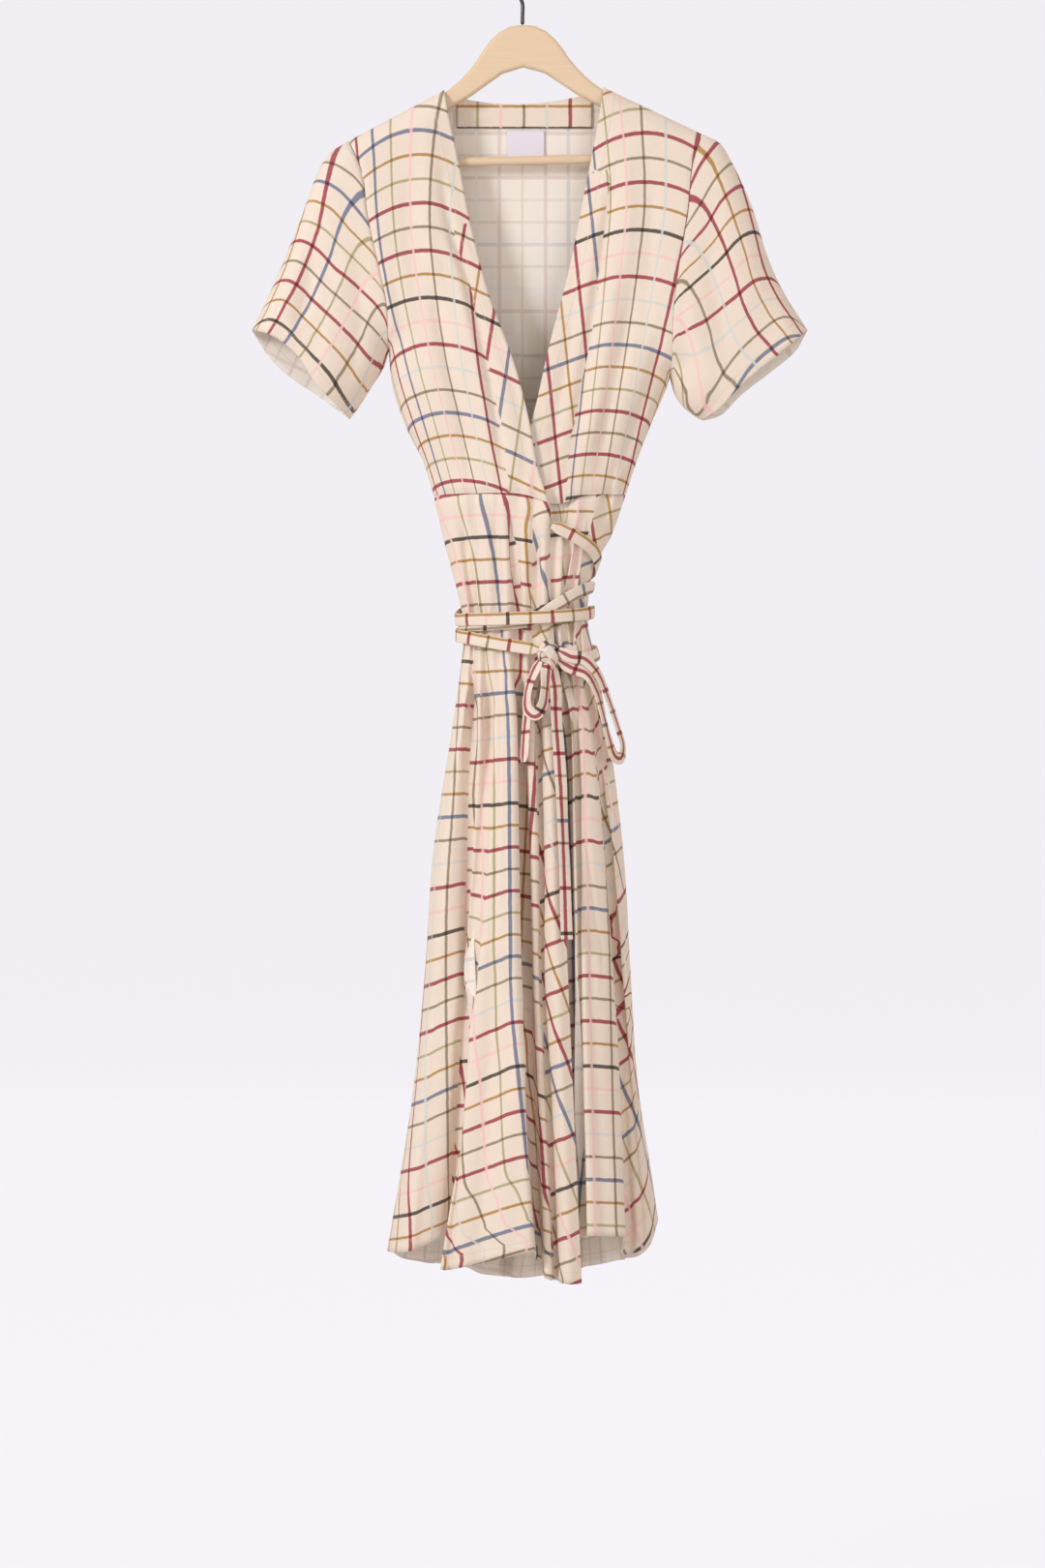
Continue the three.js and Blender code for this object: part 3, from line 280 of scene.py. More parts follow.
def waist_drop(across):
    depth, centre, spread = WAIST_DIP
    return WAIST + depth * np.exp(-(((across - centre) / spread) ** 2))


def normals_of(grid):
    """Unit normals of a grid of points."""
    normal = np.cross(np.gradient(grid, axis=1), np.gradient(grid, axis=0))
    return normal / np.maximum(np.linalg.norm(normal, axis=2, keepdims=True), 1e-9)


def crease_field(creases, a, b):
    """Sum of soft ridges and troughs at places (a, b). Each crease is a path, a height (down is a
    trough) and a width, and fades at its ends."""
    total = np.zeros(np.broadcast(a, b).shape)
    for path, height, width in creases:
        best, part = nearest_on(along_path(path, np.linspace(0, 1, 24)), a, b)
        fade = np.minimum(1, 3.2 * part + 0.05) * np.minimum(1, 3.2 * (1 - part) + 0.05)
        total += height * ease(fade) * np.exp(-((best / width) ** 2))
    return total


def fold_field(folds, across, drop):
    """Sum of long folds that run down the cloth. Each has its places (across, drop), a height (down is a
    groove), and its widths on the left and the right, so that one side may be the sharper."""
    total = np.zeros(np.broadcast(across, drop).shape)
    for places, height, left, right in folds:
        places = np.array(places, float)
        beside = across - smooth_at(places[:, 1], places[:, 0], drop)
        start, end = places[0, 1], places[-1, 1]
        run = ease((drop - start + 6) / 40) * np.where(end > 1300, 1, ease((end - drop + 6) / 60))
        total += height * run * np.exp(-((beside / np.where(beside < 0, left, right)) ** 2))
    return total


# Print: line numbers across (p) and down (q) at each point of a grid
PITCH_ACROSS, PITCH_DOWN = 24, 23


def arcs(grid, axis):
    """Length of cloth from the grid's first row or column."""
    step = np.linalg.norm(np.diff(grid, axis=axis), axis=2)
    zero = np.zeros_like(step[:1] if axis == 0 else step[:, :1])
    return np.concatenate([zero, np.cumsum(step, axis=axis)], axis=axis)


def print_from_crossings(grid, crossings, usable, path=None):
    """Fits the line numbers to a few crossings of the check, given as across, drop, p, q. With a path,
    cloth is measured from it across and by drop, and otherwise from the grid's edges."""
    s, t = arcs(grid, 1), arcs(grid, 0)
    if path is not None:
        t = -grid[..., 2]
        start = [np.interp(column(path, "across", np.median(row)), line[::order], length[::order])
                 for row, line, length in zip(t, grid[..., 0], s)
                 for order in (1 if line[-1] > line[0] else -1,)]
        s = s - np.array(start)[:, None]
    s, t = s / 100, t / 100
    rows, wanted = [], []
    basis = lambda s, t: np.stack([np.ones_like(s), s, t, s * t, t * t, s * s], -1)
    for across, drop, p, q in crossings:
        away = np.hypot(grid[..., 0] - across, -grid[..., 2] - drop) + np.where(usable, 0, 1e6)
        k = int(np.argmin(away))
        rows.append(basis(s.flat[k], t.flat[k]))
        wanted.append((p, q))
    fitted, *_ = np.linalg.lstsq(np.array(rows), np.array(wanted, float), rcond=None)
    return basis(s, t) @ fitted


# Mesh of a wall of cloth about a grid
def placed(name, data):
    made = bpy.data.objects.new(name, data)
    bpy.context.collection.objects.link(made)
    return made


def cloth_piece(name, grid, uv, materials, ring=False, thickness=CLOTH, hem=None, turned=()):
    """Grid of points as a wall of cloth. turned holds further prints for parts of it: line numbers, and
    the points that they belong to."""
    rows, cols = grid.shape[:2]
    i, j = np.meshgrid(np.arange(rows - 1), np.arange(cols if ring else cols - 1), indexing="ij")
    i, j = i.ravel(), j.ravel()
    corners = [(i, j), (i + 1, j), (i + 1, j + 1), (i, j + 1)]
    faces = np.stack([a * cols + b % cols for a, b in corners], -1)
    loops_uv = np.stack([uv[a, b % uv.shape[1]] for a, b in corners], 1)
    for other, belongs in turned:
        chosen = np.mean([belongs[a, b % cols] for a, b in corners], axis=0) > 0.5
        loops_uv[chosen] = np.stack([other[a, b % cols] for a, b in corners], 1)[chosen]
    mesh = bpy.data.meshes.new(name)
    mesh.from_pydata((grid.reshape(-1, 3) * MM).tolist(), [], faces.tolist())
    layer = mesh.uv_layers.new(name="print")
    layer.data.foreach_set("uv", loops_uv.reshape(-1))
    if hem is not None:
        near = mesh.attributes.new("hem", "FLOAT", "POINT")
        near.data.foreach_set("value", hem.reshape(-1).astype(float))
    mesh.polygons.foreach_set("use_smooth", [True] * len(faces))
    for material in materials:
        mesh.materials.append(material)
    piece = placed(name, mesh)
    if thickness:
        wall = piece.modifiers.new("wall", "SOLIDIFY")
        wall.thickness = thickness * MM
        wall.offset = 0
        wall.material_offset = 1 if len(materials) > 1 else 0
        wall.material_offset_rim = 0
    return piece


def settle(piece, node):
    """Rides on the dress's body in place of its CAD node."""
    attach(piece, "root")
    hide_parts(node)


# Bodice
def close_at_ends(rows):
    """Row places from 0 to 1, closer together at both ends."""
    t = np.linspace(0, 1, rows + 1)
    return t**1.5 * (1 - t) + t * (1 - (1 - t) ** 1.5)


def waist_pull(from_seam):
    """How far the cloth draws in beside the waist seam."""
    return WAIST_PULL * np.exp(-((from_seam / PULL_REACH) ** 2))


def bodice_front(side, rows=120, cols=64):
    over = side == "left"
    neck, outer = NECK_EDGE[side], EDGE[side]
    v = close_at_ends(rows)[:, None]
    u = (1 - (1 - np.linspace(0, 1, cols + 1)) ** 1.7)[None, :]
    inner_drop = mix(neck["drop"][0], waist_drop(neck["across"][-1]) - WAIST_GAP, v)
    outer_drop = mix(outer["drop"][0], WAIST - WAIST_GAP, v)
    across = mix(column(neck, "across", inner_drop), column(outer, "across", outer_drop), u)
    flat = mix(inner_drop, outer_drop, u)
    straight = mix(waist_drop(neck["across"][-1]), WAIST, u)
    drop = flat + (waist_drop(across) - straight) * v**6 * (1 - u**12)
    depth = bodice_depth(side, across, drop, "front")
    inward = np.abs(across - column(neck, "across", inner_drop))
    lap = LAP[side] * ease(v * 1.6) * (1 - u**3)
    curl = CURL_DEPTH * (1 - ease(inward / CURL_REACH)) * ease(v * 5) * ease((0.72 - v) * 4)
    creases = crease_field(FRONT_CREASES[side], across, drop) * ease(v * 5) * ease((1 - v) * 12 + 0.25)
    gathers = gather_field(across, drop, seed=3 if over else 8)
    away = distance_to(EDGE_PATHS[side]["seam"], across, drop)
    from_armhole = np.abs(across - column(outer, "across", outer_drop))
    from_armhole = from_armhole + np.where(drop < SHOULDER[side]["notch"][1], 0, 99)
    creases = creases - SEAM_SINK * np.exp(-((from_armhole / SINK_REACH) ** 2)) * ease(depth / 6)
    out = depth + lap - curl + creases + (gathers - waist_pull(waist_drop(across) - drop)) * ease(away / 14)
    plain = depth + lap - curl + 0.6 * creases
    grids = [np.stack([across, -(SEAM_GAP / 2 + np.maximum(y, 0)), -drop], -1) for y in (out, plain)]
    return [*grids, inward]


FRONT_CREASES = {
    "left": [
        ([(-88, 200), (-76, 288), (-60, 340), (-49, 385), (-33, 460), (-15, 573)], -6.5, 6),
        ([(-96, 330), (-80, 420), (-62, 500), (-52, 573)], -4.5, 8),
        ([(-72, 300), (-55, 400), (-38, 480), (-30, 566)], 2.6, 8),
        ([(-104, 180), (-98, 250), (-94, 320), (-82, 400)], 1.6, 7),
        ([(-118, 215), (-117, 290), (-110, 360), (-98, 440)], -1.8, 9),
        ([(-136, 300), (-126, 380), (-108, 470), (-84, 560)], -2.4, 8),
        ([(-128, 440), (-104, 505), (-76, 568)], 2.0, 6),
        ([(-20, 420), (-4, 480), (4, 530), (2, 575)], -2.4, 6),
    ],
    "right": [
        ([(98, 200), (90, 267), (80, 339), (65, 442), (44, 573)], -6, 7),
        ([(118, 330), (104, 420), (86, 500), (74, 573)], -4.5, 8),
        ([(100, 300), (90, 390), (78, 470), (62, 560)], 2.8, 7),
        ([(112, 180), (108, 240), (108, 310), (100, 380)], 1.8, 7),
        ([(132, 210), (132, 290), (126, 380), (110, 470)], -2.0, 9),
        ([(146, 380), (132, 450), (112, 510), (92, 566)], -2.6, 7),
        ([(140, 460), (122, 510), (104, 560)], 2.0, 6),
        ([(60, 330), (48, 420), (34, 500), (22, 570)], -3.0, 7),
    ],
}


def flap_print(grid, crease, origin, line, row, spacing):
    """Print of a neck edge's flap, which is turned against the rest of the front. line and row are the
    directions square to its lines and rows, origin their crossing (across, drop, p, q)."""
    across, drop = grid[..., 0], -grid[..., 2]
    from_across, from_drop = across - origin[0], drop - origin[1]
    p = origin[2] - (from_across * line[0] + from_drop * line[1]) / spacing[0]
    q = origin[3] - (from_across * row[0] + from_drop * row[1]) / spacing[1]
    start, end = crease[0][1], crease[-1][1]
    at = np.interp(drop, [place[1] for place in crease], [place[0] for place in crease])
    beyond = (across > at) if origin[0] < 0 else (across < at)
    return np.stack([p, q], -1), beyond & (drop > start) & (drop < end)


FLAPS = {
    "left": ([(-76, 288), (-63, 330), (-58, 348), (-49, 385), (-36, 443), (-30, 474), (-20, 518),
              (-15, 573), (-12, 620)],
             (-48, 386, -0.15, -6), (0.99, 0.145), (-0.423, 0.906), (21.4, 22.8)),
    "right": ([(92, 236), (86, 293), (80, 339), (72, 407), (65, 442), (51, 512), (46, 560), (44, 620)],
              (53.7, 311.5, -1, -6), (0.995, -0.101), (0.354, 0.935), (20.2, 22.6)),
}


def gather_field(across, drop, seed):
    """Narrow uneven gathers either side of the waist seam and under the belt."""
    draw = np.random.default_rng(seed)
    total = np.zeros(np.broadcast(across, drop).shape)
    for _ in range(GATHERS):
        at = draw.uniform(*GATHER_PLACES)
        width = draw.uniform(*GATHER_WIDTH)
        height = draw.uniform(*GATHER_HEIGHT) * draw.choice([-1, 1])
        up, down = draw.uniform(*GATHER_UP), draw.uniform(*GATHER_DOWN)
        lean = draw.uniform(*GATHER_LEAN)
        reach = np.where(drop < WAIST, (WAIST - drop) / up, (drop - WAIST) / down)
        centre = at * (1 + 0.0006 * (WAIST - drop)) + lean * (drop - WAIST)
        total += height * np.exp(-(((across - centre) / width) ** 2)) * np.exp(-(reach**2))
    return total


def bodice_back(rows=110, cols=90):
    left, right = SHOULDER["left"], SHOULDER["right"]
    width = right["tip"][0] - left["tip"][0]
    t = np.linspace(0, 1, cols + 1)
    u = ((1 - np.cos(np.pi * t)) / 2 * 0.35 + 0.65 * t)[None, :]
    start, end = ((shoulder["neck"][0] - left["tip"][0]) / width for shoulder in (left, right))
    beside = np.array([-0.01, 0, 0.004, 0.012, 0.022])
    u = np.unique(np.concatenate([u[0], start + beside, end - beside]))[None, :]
    v = close_at_ends(rows)[:, None]
    at_top = mix(left["tip"][0], right["tip"][0], u)
    slopes = np.interp(at_top, *zip(left["tip"], left["neck"], right["neck"], right["tip"]))
    in_neck = (at_top >= left["neck"][0]) & (at_top <= right["neck"][0])
    top = np.where(in_neck, column(BACK_NECK, "drop", at_top, "across"), slopes)
    sides = [column(EDGE[side], "across", mix(SHOULDER[side]["tip"][1], WAIST - WAIST_GAP, v))
             for side in SIDES]
    across = mix(*sides, u)
    drop = mix(top, WAIST - WAIST_GAP, v)
    depth = np.where(u < 0.5, *[bodice_depth(side, across, drop, "back") for side in SIDES])
    away = np.minimum(*[distance_to(EDGE_PATHS[side]["seam"], across, drop) for side in SIDES])
    small = crease_field(BACK_CREASES, across, drop) + gather_field(across, drop, 21)
    small = (small - waist_pull(WAIST - drop)) * ease(away / 16) * ease((drop - 240) / 60)
    return np.stack([across, SEAM_GAP / 2 + np.maximum(depth + small, 0), -drop], -1)


BACK_CREASES = [
    ([(-120, 260), (-112, 360), (-92, 460), (-70, 560)], -2.6, 10),
    ([(-60, 300), (-58, 400), (-48, 480), (-40, 566)], 2.2, 9),
    ([(-10, 330), (-6, 430), (-12, 500), (-8, 568)], -2.0, 8),
    ([(40, 320), (38, 420), (44, 500), (34, 568)], 2.2, 9),
    ([(110, 270), (102, 370), (88, 470), (66, 560)], -2.8, 10),
    ([(138, 420), (118, 490), (96, 560)], -1.8, 7),
    ([(-124, 430), (-104, 500), (-84, 562)], -1.8, 7),
]


def sleeve(side, rows=44, cols=56):
    paths, outer = SLEEVE[side], EDGE[side]
    tip, notch = SHOULDER[side]["tip"], SHOULDER[side]["notch"]
    j = np.arange(2 * cols)
    front = j < cols
    turn = (j % cols) / cols
    part = np.where(front, turn, 1 - turn)
    s = ((1 - np.cos(part * np.pi)) / 2)[None, :]
    gap = 0.003 + 0.012 * s**5
    w = gap + (1 - gap) * np.linspace(0, 1, rows + 1)[:, None]
    s = s + 0 * w

    def armhole(s):
        drop = mix(tip[1], notch[1], s)
        return np.stack([column(outer, "across", drop), drop], -1)

    def patch(hem):
        top, under = along_path(paths["top"], w), along_path(paths["under"], w)
        start, end = armhole(s), along_path(hem, s)
        a, b = s[..., None], w[..., None]
        corners = mix(mix(armhole(np.zeros_like(s)), armhole(np.ones_like(s)), a),
                      mix(along_path(hem, np.zeros_like(s)), along_path(hem, np.ones_like(s)), a), b)
        return mix(top, under, a) + mix(start, end, b) - corners

    place = np.where(front[None, :, None], patch(paths["front"]), patch(paths["back"]))
    across, drop = place[..., 0], place[..., 1]
    depth = np.where(front[None, :], bodice_depth(side, across, drop, "front"),
                     bodice_depth(side, across, drop, "back"))
    small = crease_field(SLEEVE_CREASES[side], across, drop) * ease(depth / 12) * ease(w * 3)
    small = small - SEAM_SINK * np.exp(-((w / 0.03) ** 2)) * ease(depth / 6)
    depth = np.maximum(depth + small * np.where(front[None, :], 1, 0.7), 0)
    sign = np.where(front, -1, 1)[None, :]
    grid = np.stack([across, sign * depth, -drop], -1)
    hem = (1 - w) * SLEEVE_LENGTH * (0.6 + 0.4 * (1 - s))
    return grid, hem


SLEEVE_CREASES = {
    "left": [
        ([(-196, 250), (-212, 300), (-222, 350), (-228, 400)], -2.4, 9),
        ([(-176, 300), (-186, 360), (-200, 420), (-206, 452)], 2.2, 10),
        ([(-164, 330), (-166, 390), (-176, 440), (-186, 470)], -2.6, 8),
        ([(-214, 330), (-220, 372), (-238, 406)], -2.6, 7),
        ([(-250, 360), (-240, 392), (-236, 412)], 1.6, 8),
    ],
    "right": [
        ([(196, 240), (212, 300), (226, 360), (238, 420)], 2.0, 10),
        ([(180, 290), (196, 350), (206, 410), (214, 452)], -2.4, 9),
        ([(168, 350), (176, 400), (188, 450), (194, 480)], 2.2, 8),
        ([(236, 320), (252, 360), (264, 400)], -1.8, 8),
        ([(164, 420), (172, 450), (184, 480)], -2.0, 6),
    ],
}


# Skirt
def envelope(across, drop, face):
    left, right = column(SKIRT_OUTLINE, "left", drop), column(SKIRT_OUTLINE, "right", drop)
    q = np.clip((across - (left + right) / 2) / ((right - left) / 2), -1, 1)
    return column(SKIRT_OUTLINE, face, drop) * np.sqrt(1 - q * q)


def skirt_panel(folds, face, sewn_end=False, dip=True, rows=150, per_fold=14):
    sign = -1 if face == "front" else 1
    v = np.linspace(0, 1, rows + 1) ** 1.3
    lines = []
    for k, (across, inside, hem) in enumerate(folds):
        sewn = k == 0 or (sewn_end and k == len(folds) - 1)
        top = (waist_drop(across[0]) if dip else WAIST) + WAIST_GAP
        drop = mix(top, hem, v)
        stops = [WAIST, BELT, HIP, KNEE, hem]
        at = smooth_at(stops, across, drop)
        depth = np.maximum(envelope(at, drop, face) - smooth_at(stops, (inside[0] * 0.3, *inside), drop), 0)
        if sewn:
            at = column(SKIRT_OUTLINE, "left" if across[0] < 0 else "right", drop)
            depth = np.zeros_like(drop)
        lines.append(np.stack([at, depth, drop], -1))

    def turn(edge, inner):
        middle = mix(edge, inner, SIDE_TURN)
        middle[:, 1] = envelope(middle[:, 0], middle[:, 2], face)
        return middle

    lines.insert(1, turn(lines[0], lines[1]))
    if sewn_end:
        lines.insert(len(lines) - 1, turn(lines[-1], lines[-2]))
    lines = np.array(lines)
    at = np.arange((len(lines) - 1) * per_fold + 1) / per_fold
    stops = np.arange(len(lines))
    flat = lines.reshape(len(lines), -1)
    smooth = np.array([smooth_at(stops, flat[:, k], at) for k in range(flat.shape[1])])
    grid = smooth.reshape(rows + 1, 3, -1).transpose(0, 2, 1)
    across, depth, drop = grid[..., 0], np.maximum(grid[..., 1], 0), grid[..., 2]
    grid = np.stack([across, sign * (SEAM_GAP / 2 + depth), -drop], -1)
    return grid, at, v


def pushed_out(grid, away, height):
    """Grid moved outward by a height that fades at the sewn edges."""
    outward = normals_of(grid)
    middle = grid[:, grid.shape[1] // 2, 1].mean()
    if np.sign(outward[grid.shape[0] // 2, grid.shape[1] // 2, 1]) != np.sign(middle):
        outward = -outward
    return grid + outward * (height * ease(away / 12))[..., None]


def with_small_folds(grid, away, seed, lap):
    """Gathers at the waist and soft uneven ripples that widen toward the hem."""
    across, drop = grid[..., 0], -grid[..., 2]
    draw = np.random.default_rng(seed)
    small = gather_field(across, drop, seed)
    small = small + lap * ease(1 - (drop - drop[:1]) / 60) - waist_pull(drop - drop[:1])
    s = arcs(grid, 1)
    total = s[:, -1:]
    for _ in range(RIPPLES):
        at, width = draw.uniform(*RIPPLE_PLACES), draw.uniform(*RIPPLE_WIDTH)
        height = draw.uniform(*RIPPLE_HEIGHT) * draw.choice([-1, 1])
        start, end = sorted(draw.uniform(*RIPPLE_DROPS, 2))
        lean = draw.uniform(*RIPPLE_LEAN)
        part = s / total - at - lean * (drop - 1000) / 400
        run = ease((drop - start) / 90) * ease((end - drop) / 120 + 0.4)
        small = small + height * run * np.exp(-((part / width) ** 2))
    return pushed_out(grid, away, small)


def gore_print(grid, at, gores):
    """Line numbers on flared gores."""
    drop = -grid[..., 2]
    s, from_waist = arcs(grid, 1), arcs(grid, 0) + drop[:1] - WAIST
    near_hem = ease((drop - 840) / 380)
    prints = []
    for gore in gores:
        low, high = gore["folds"]
        inside = (at >= low - 1e-6) & (at <= high + 1e-6)
        lean, hand, flow = gore.get("lean", 0), gore.get("hand", 1), gore.get("flow", 1)
        near = np.abs(grid[..., 0] - column(gore["path"], "across", drop)) + np.where(inside, 0, 1e6)[None, :]
        j = np.argmin(near, axis=1)
        i = np.arange(grid.shape[0])
        before, after = np.maximum(j - 1, 0), np.minimum(j + 1, grid.shape[1] - 1)
        run = np.maximum(np.abs(grid[i, after, 0] - grid[i, before, 0]), 0.1)
        steep = np.clip((s[i, after] - s[i, before]) / run, 1, 2)
        start = s[i, j] + (column(gore["path"], "across", drop[i, j]) - grid[i, j, 0]) * hand * steep
        start = np.convolve(np.pad(start, 1, mode="edge"), np.ones(3) / 3, mode="valid")
        down = from_waist + near_hem * (from_waist[-1, j[-1]] - from_waist[-1:])
        radius = gore["radius"] + down
        turned = lean + hand * (s - start[:, None]) / radius
        across, length = radius * np.sin(turned), radius * np.cos(turned)
        k = int(np.argmin(np.abs(drop[i, j] - gore["drop"])))
        p = gore["p"] + flow * (across - radius[k, j[k]] * math.sin(lean)) / PITCH_ACROSS
        q = gore["q"] + flow * (length - radius[k, j[k]] * math.cos(lean)) / PITCH_DOWN
        uv = np.stack([p, q], -1)
        prints.append((uv, inside[None, :] & (drop > gore.get("below", 0))) if prints else uv)
    return prints


# Ties
def around_body(turn, drop, out):
    left, right = column(SKIRT_OUTLINE, "left", drop), column(SKIRT_OUTLINE, "right", drop)
    angle = np.radians(turn)
    face = np.where(np.sin(angle) >= 0, *[column(SKIRT_OUTLINE, name, drop) for name in ("front", "back")])
    return np.stack([(left + right) / 2 + ((right - left) / 2 + out) * np.cos(angle),
                     -(face + out) * np.sin(angle), -drop], -1)


def wound_route(rows, steps=260):
    stops = np.arange(len(rows["turn"]))
    at = np.linspace(0, stops[-1], steps + 1)
    turn, drop, layer = (smooth_at(stops, rows[name], at) for name in ("turn", "drop", "layer"))
    out = HALF_WALL + LAYER_GAP + RIDGE_ROOM + TIE_THICK / 2 + layer * (TIE_THICK + LAYER_GAP)
    centres = around_body(turn, drop, out)
    round_ = around_body(turn + 1, drop, out) - around_body(turn - 1, drop, out)
    down = around_body(turn, drop + 3, out) - around_body(turn, drop - 3, out)
    return centres, np.cross(down, round_)


def free_route(rows, steps=90):
    """Centripetal smooth curve through a free end's points, with evenly spaced steps."""
    points = np.stack([rows["across"], -rows["front"], -rows["drop"]], -1)
    ends = np.vstack([2 * points[0] - points[1], points, 2 * points[-1] - points[-2]])
    dense, when = [], []
    for k in range(len(points) - 1):
        p0, p1, p2, p3 = ends[k:k + 4]
        d0, d1, d2 = (np.linalg.norm(b - a) ** 0.5 for a, b in ((p0, p1), (p1, p2), (p2, p3)))
        m1 = ((p1 - p0) / d0 - (p2 - p0) / (d0 + d1) + (p2 - p1) / d1) * d1
        m2 = ((p2 - p1) / d1 - (p3 - p1) / (d1 + d2) + (p3 - p2) / d2) * d1
        t = np.linspace(0, 1, 21)[:, None] if k == len(points) - 2 else np.linspace(0, 1, 21)[:-1, None]
        dense.append(cubic(t, p1, m1, p2, m2))
        when.append(k + t[:, 0])
    dense, when = np.vstack(dense), np.concatenate(when)
    length = lengths_along(dense)
    even = np.linspace(0, length[-1], steps + 1)
    centres = np.stack([np.interp(even, length, dense[:, k]) for k in range(3)], -1)
    face = np.radians(smooth_at(np.arange(len(points)), rows["face"], np.interp(even, length, when)))
    return centres, np.stack([np.sin(face), -np.cos(face), np.zeros_like(face)], -1)


def tie_piece(name, centres, facings, p_line, q_start, ends=(True, True), width=TIE_WIDTH):
    """Flat tube of cloth along a route, rounded at its folded edges and closed at its ends."""
    tangent = np.gradient(centres, axis=0)
    tangent /= np.linalg.norm(tangent, axis=1, keepdims=True)
    facing = facings - tangent * np.sum(facings * tangent, axis=1, keepdims=True)
    facing /= np.linalg.norm(facing, axis=1, keepdims=True)
    wide = np.cross(tangent, facing)
    half, round_ = width / 2, TIE_THICK / 2
    section = []
    for sign in (1, -1):
        for k in np.linspace(-sign, sign, 9):
            section.append((k * (half - round_), sign * round_ * (1 - 0.25 * abs(k) ** 3)))
        for a in np.radians((45, 0, -45)):
            section.append((sign * (half - round_ + round_ * math.cos(a)),
                            sign * round_ * 0.85 * math.sin(a)))
    section = np.array(section)
    length = lengths_along(centres)
    squeeze = np.ones(len(length))
    for at_end, near in ((ends[0], length), (ends[1], length[-1] - length)):
        if at_end:
            squeeze = np.minimum(squeeze, 0.55 + 0.45 * ease(near / 9))
    ripple = 0.5 * np.sin(length / 17 + len(name)) * np.sin(length / 41)
    out = section[None, :, 1:] + ripple[:, None, None] * (section[None, :, :1] / half) ** 2
    grid = (centres[:, None] + wide[:, None] * (section[None, :, :1] * squeeze[:, None, None])
            + facing[:, None] * out)
    step = np.linalg.norm(np.diff(np.vstack([section, section[:1]]), axis=0), axis=1)
    round_arc = np.concatenate([[0], np.cumsum(step)]) - step[:4].sum()
    p = p_line + round_arc / PITCH_ACROSS
    q = q_start + length / PITCH_DOWN
    uv = np.stack(np.broadcast_arrays(p[None, :], q[:, None]), -1)
    piece = cloth_piece(name, grid, uv, (CHECK,), ring=True, thickness=0)
    close_ends(piece, len(length), len(section))
    wall = piece.modifiers.new("wall", "SOLIDIFY")
    wall.thickness, wall.offset = TIE_WALL * MM, -1
    return piece


def close_ends(piece, rows, cols):
    """Closes a tube's two ends."""
    work = bmesh.new()
    work.from_mesh(piece.data)
    work.verts.ensure_lookup_table()
    for ring in (range(cols), range((rows - 1) * cols, rows * cols)):
        work.faces.new([work.verts[k] for k in ring])
    bmesh.ops.recalc_face_normals(work, faces=work.faces)
    for face in work.faces:
        face.smooth = True
    work.to_mesh(piece.data)
    work.free()


# Materials
def linear(r, g, b):
    """Linear colour from 0-255 screen values."""
    return tuple(((c / 255 + 0.055) / 1.055) ** 2.4 if c > 10 else c / 255 / 12.92 for c in (r, g, b))


class Maker:
    """Short calls for a material's nodes."""

    def __init__(self, name):
        self.material = bpy.data.materials.new(name)
        self.material.use_nodes = True
        self.tree = self.material.node_tree
        self.shader = self.tree.nodes["Principled BSDF"]

    def node(self, kind, **settings):
        made = self.tree.nodes.new(kind)
        for key, value in settings.items():
            setattr(made, key, value)
        return made

    def put(self, socket, value):
        if isinstance(value, bpy.types.NodeSocket):
            self.tree.links.new(value, socket)
        else:
            socket.default_value = value

    def finish(self, **values):
        """Plain values of the shader, by name with _ for a space."""
        for name, value in values.items():
            self.shader.inputs[name.replace("_", " ")].default_value = value
        return self.material

    def surface(self, colour, normal):
        self.put(self.shader.inputs["Base Color"], colour)
        self.put(self.shader.inputs["Normal"], normal)

    def math(self, operation, *values, clamp=False):
        made = self.node("ShaderNodeMath", operation=operation, use_clamp=clamp)
        for socket, value in zip(made.inputs, values):
            self.put(socket, value)
        return made.outputs[0]

    def off(self, value, middle):
        """Distance of a value from a middle one."""
        return self.math("ABSOLUTE", self.math("SUBTRACT", value, middle))

    def speckled(self, scale, detail, roughness, first, second):
        """Noise over the object, and the mix of two colours by it."""
        noise = self.noise(self.node("ShaderNodeTexCoord").outputs["Object"], scale, detail, roughness)
        return noise, self.mixed("MIX", noise, first, second)

    def mixed(self, blend, factor, a, b):
        made = self.node("ShaderNodeMix", data_type="RGBA", blend_type=blend)
        self.put(made.inputs["Factor"], factor)
        self.put(made.inputs[6], a if isinstance(a, bpy.types.NodeSocket) else (*a, 1))
        self.put(made.inputs[7], b if isinstance(b, bpy.types.NodeSocket) else (*b, 1))
        return made.outputs[2]

    def noise(self, where, scale, detail=2.0, roughness=0.5):
        made = self.node("ShaderNodeTexNoise")
        self.put(made.inputs["Vector"], where)
        for name, value in (("Scale", scale), ("Detail", detail), ("Roughness", roughness)):
            made.inputs[name].default_value = value
        return made.outputs["Fac"]

    def steps(self, position, colours):
        """Ramp of equal flat steps, each (colour, alpha)."""
        made = self.node("ShaderNodeValToRGB")
        ramp = made.color_ramp
        ramp.interpolation = "CONSTANT"
        while len(ramp.elements) < len(colours):
            ramp.elements.new(0.99)
        for k, (element, (colour, alpha)) in enumerate(zip(ramp.elements, colours)):
            element.position = k / len(colours)
            element.color = (*colour, alpha)
        self.put(made.inputs[0], position)
        return made.outputs

    def bump(self, height, strength, distance, under=None):
        made = self.node("ShaderNodeBump")
        made.inputs["Strength"].default_value = strength
        made.inputs["Distance"].default_value = distance
        self.put(made.inputs["Height"], height)
        if under is not None:
            self.put(made.inputs["Normal"], under)
        return made.outputs[0]


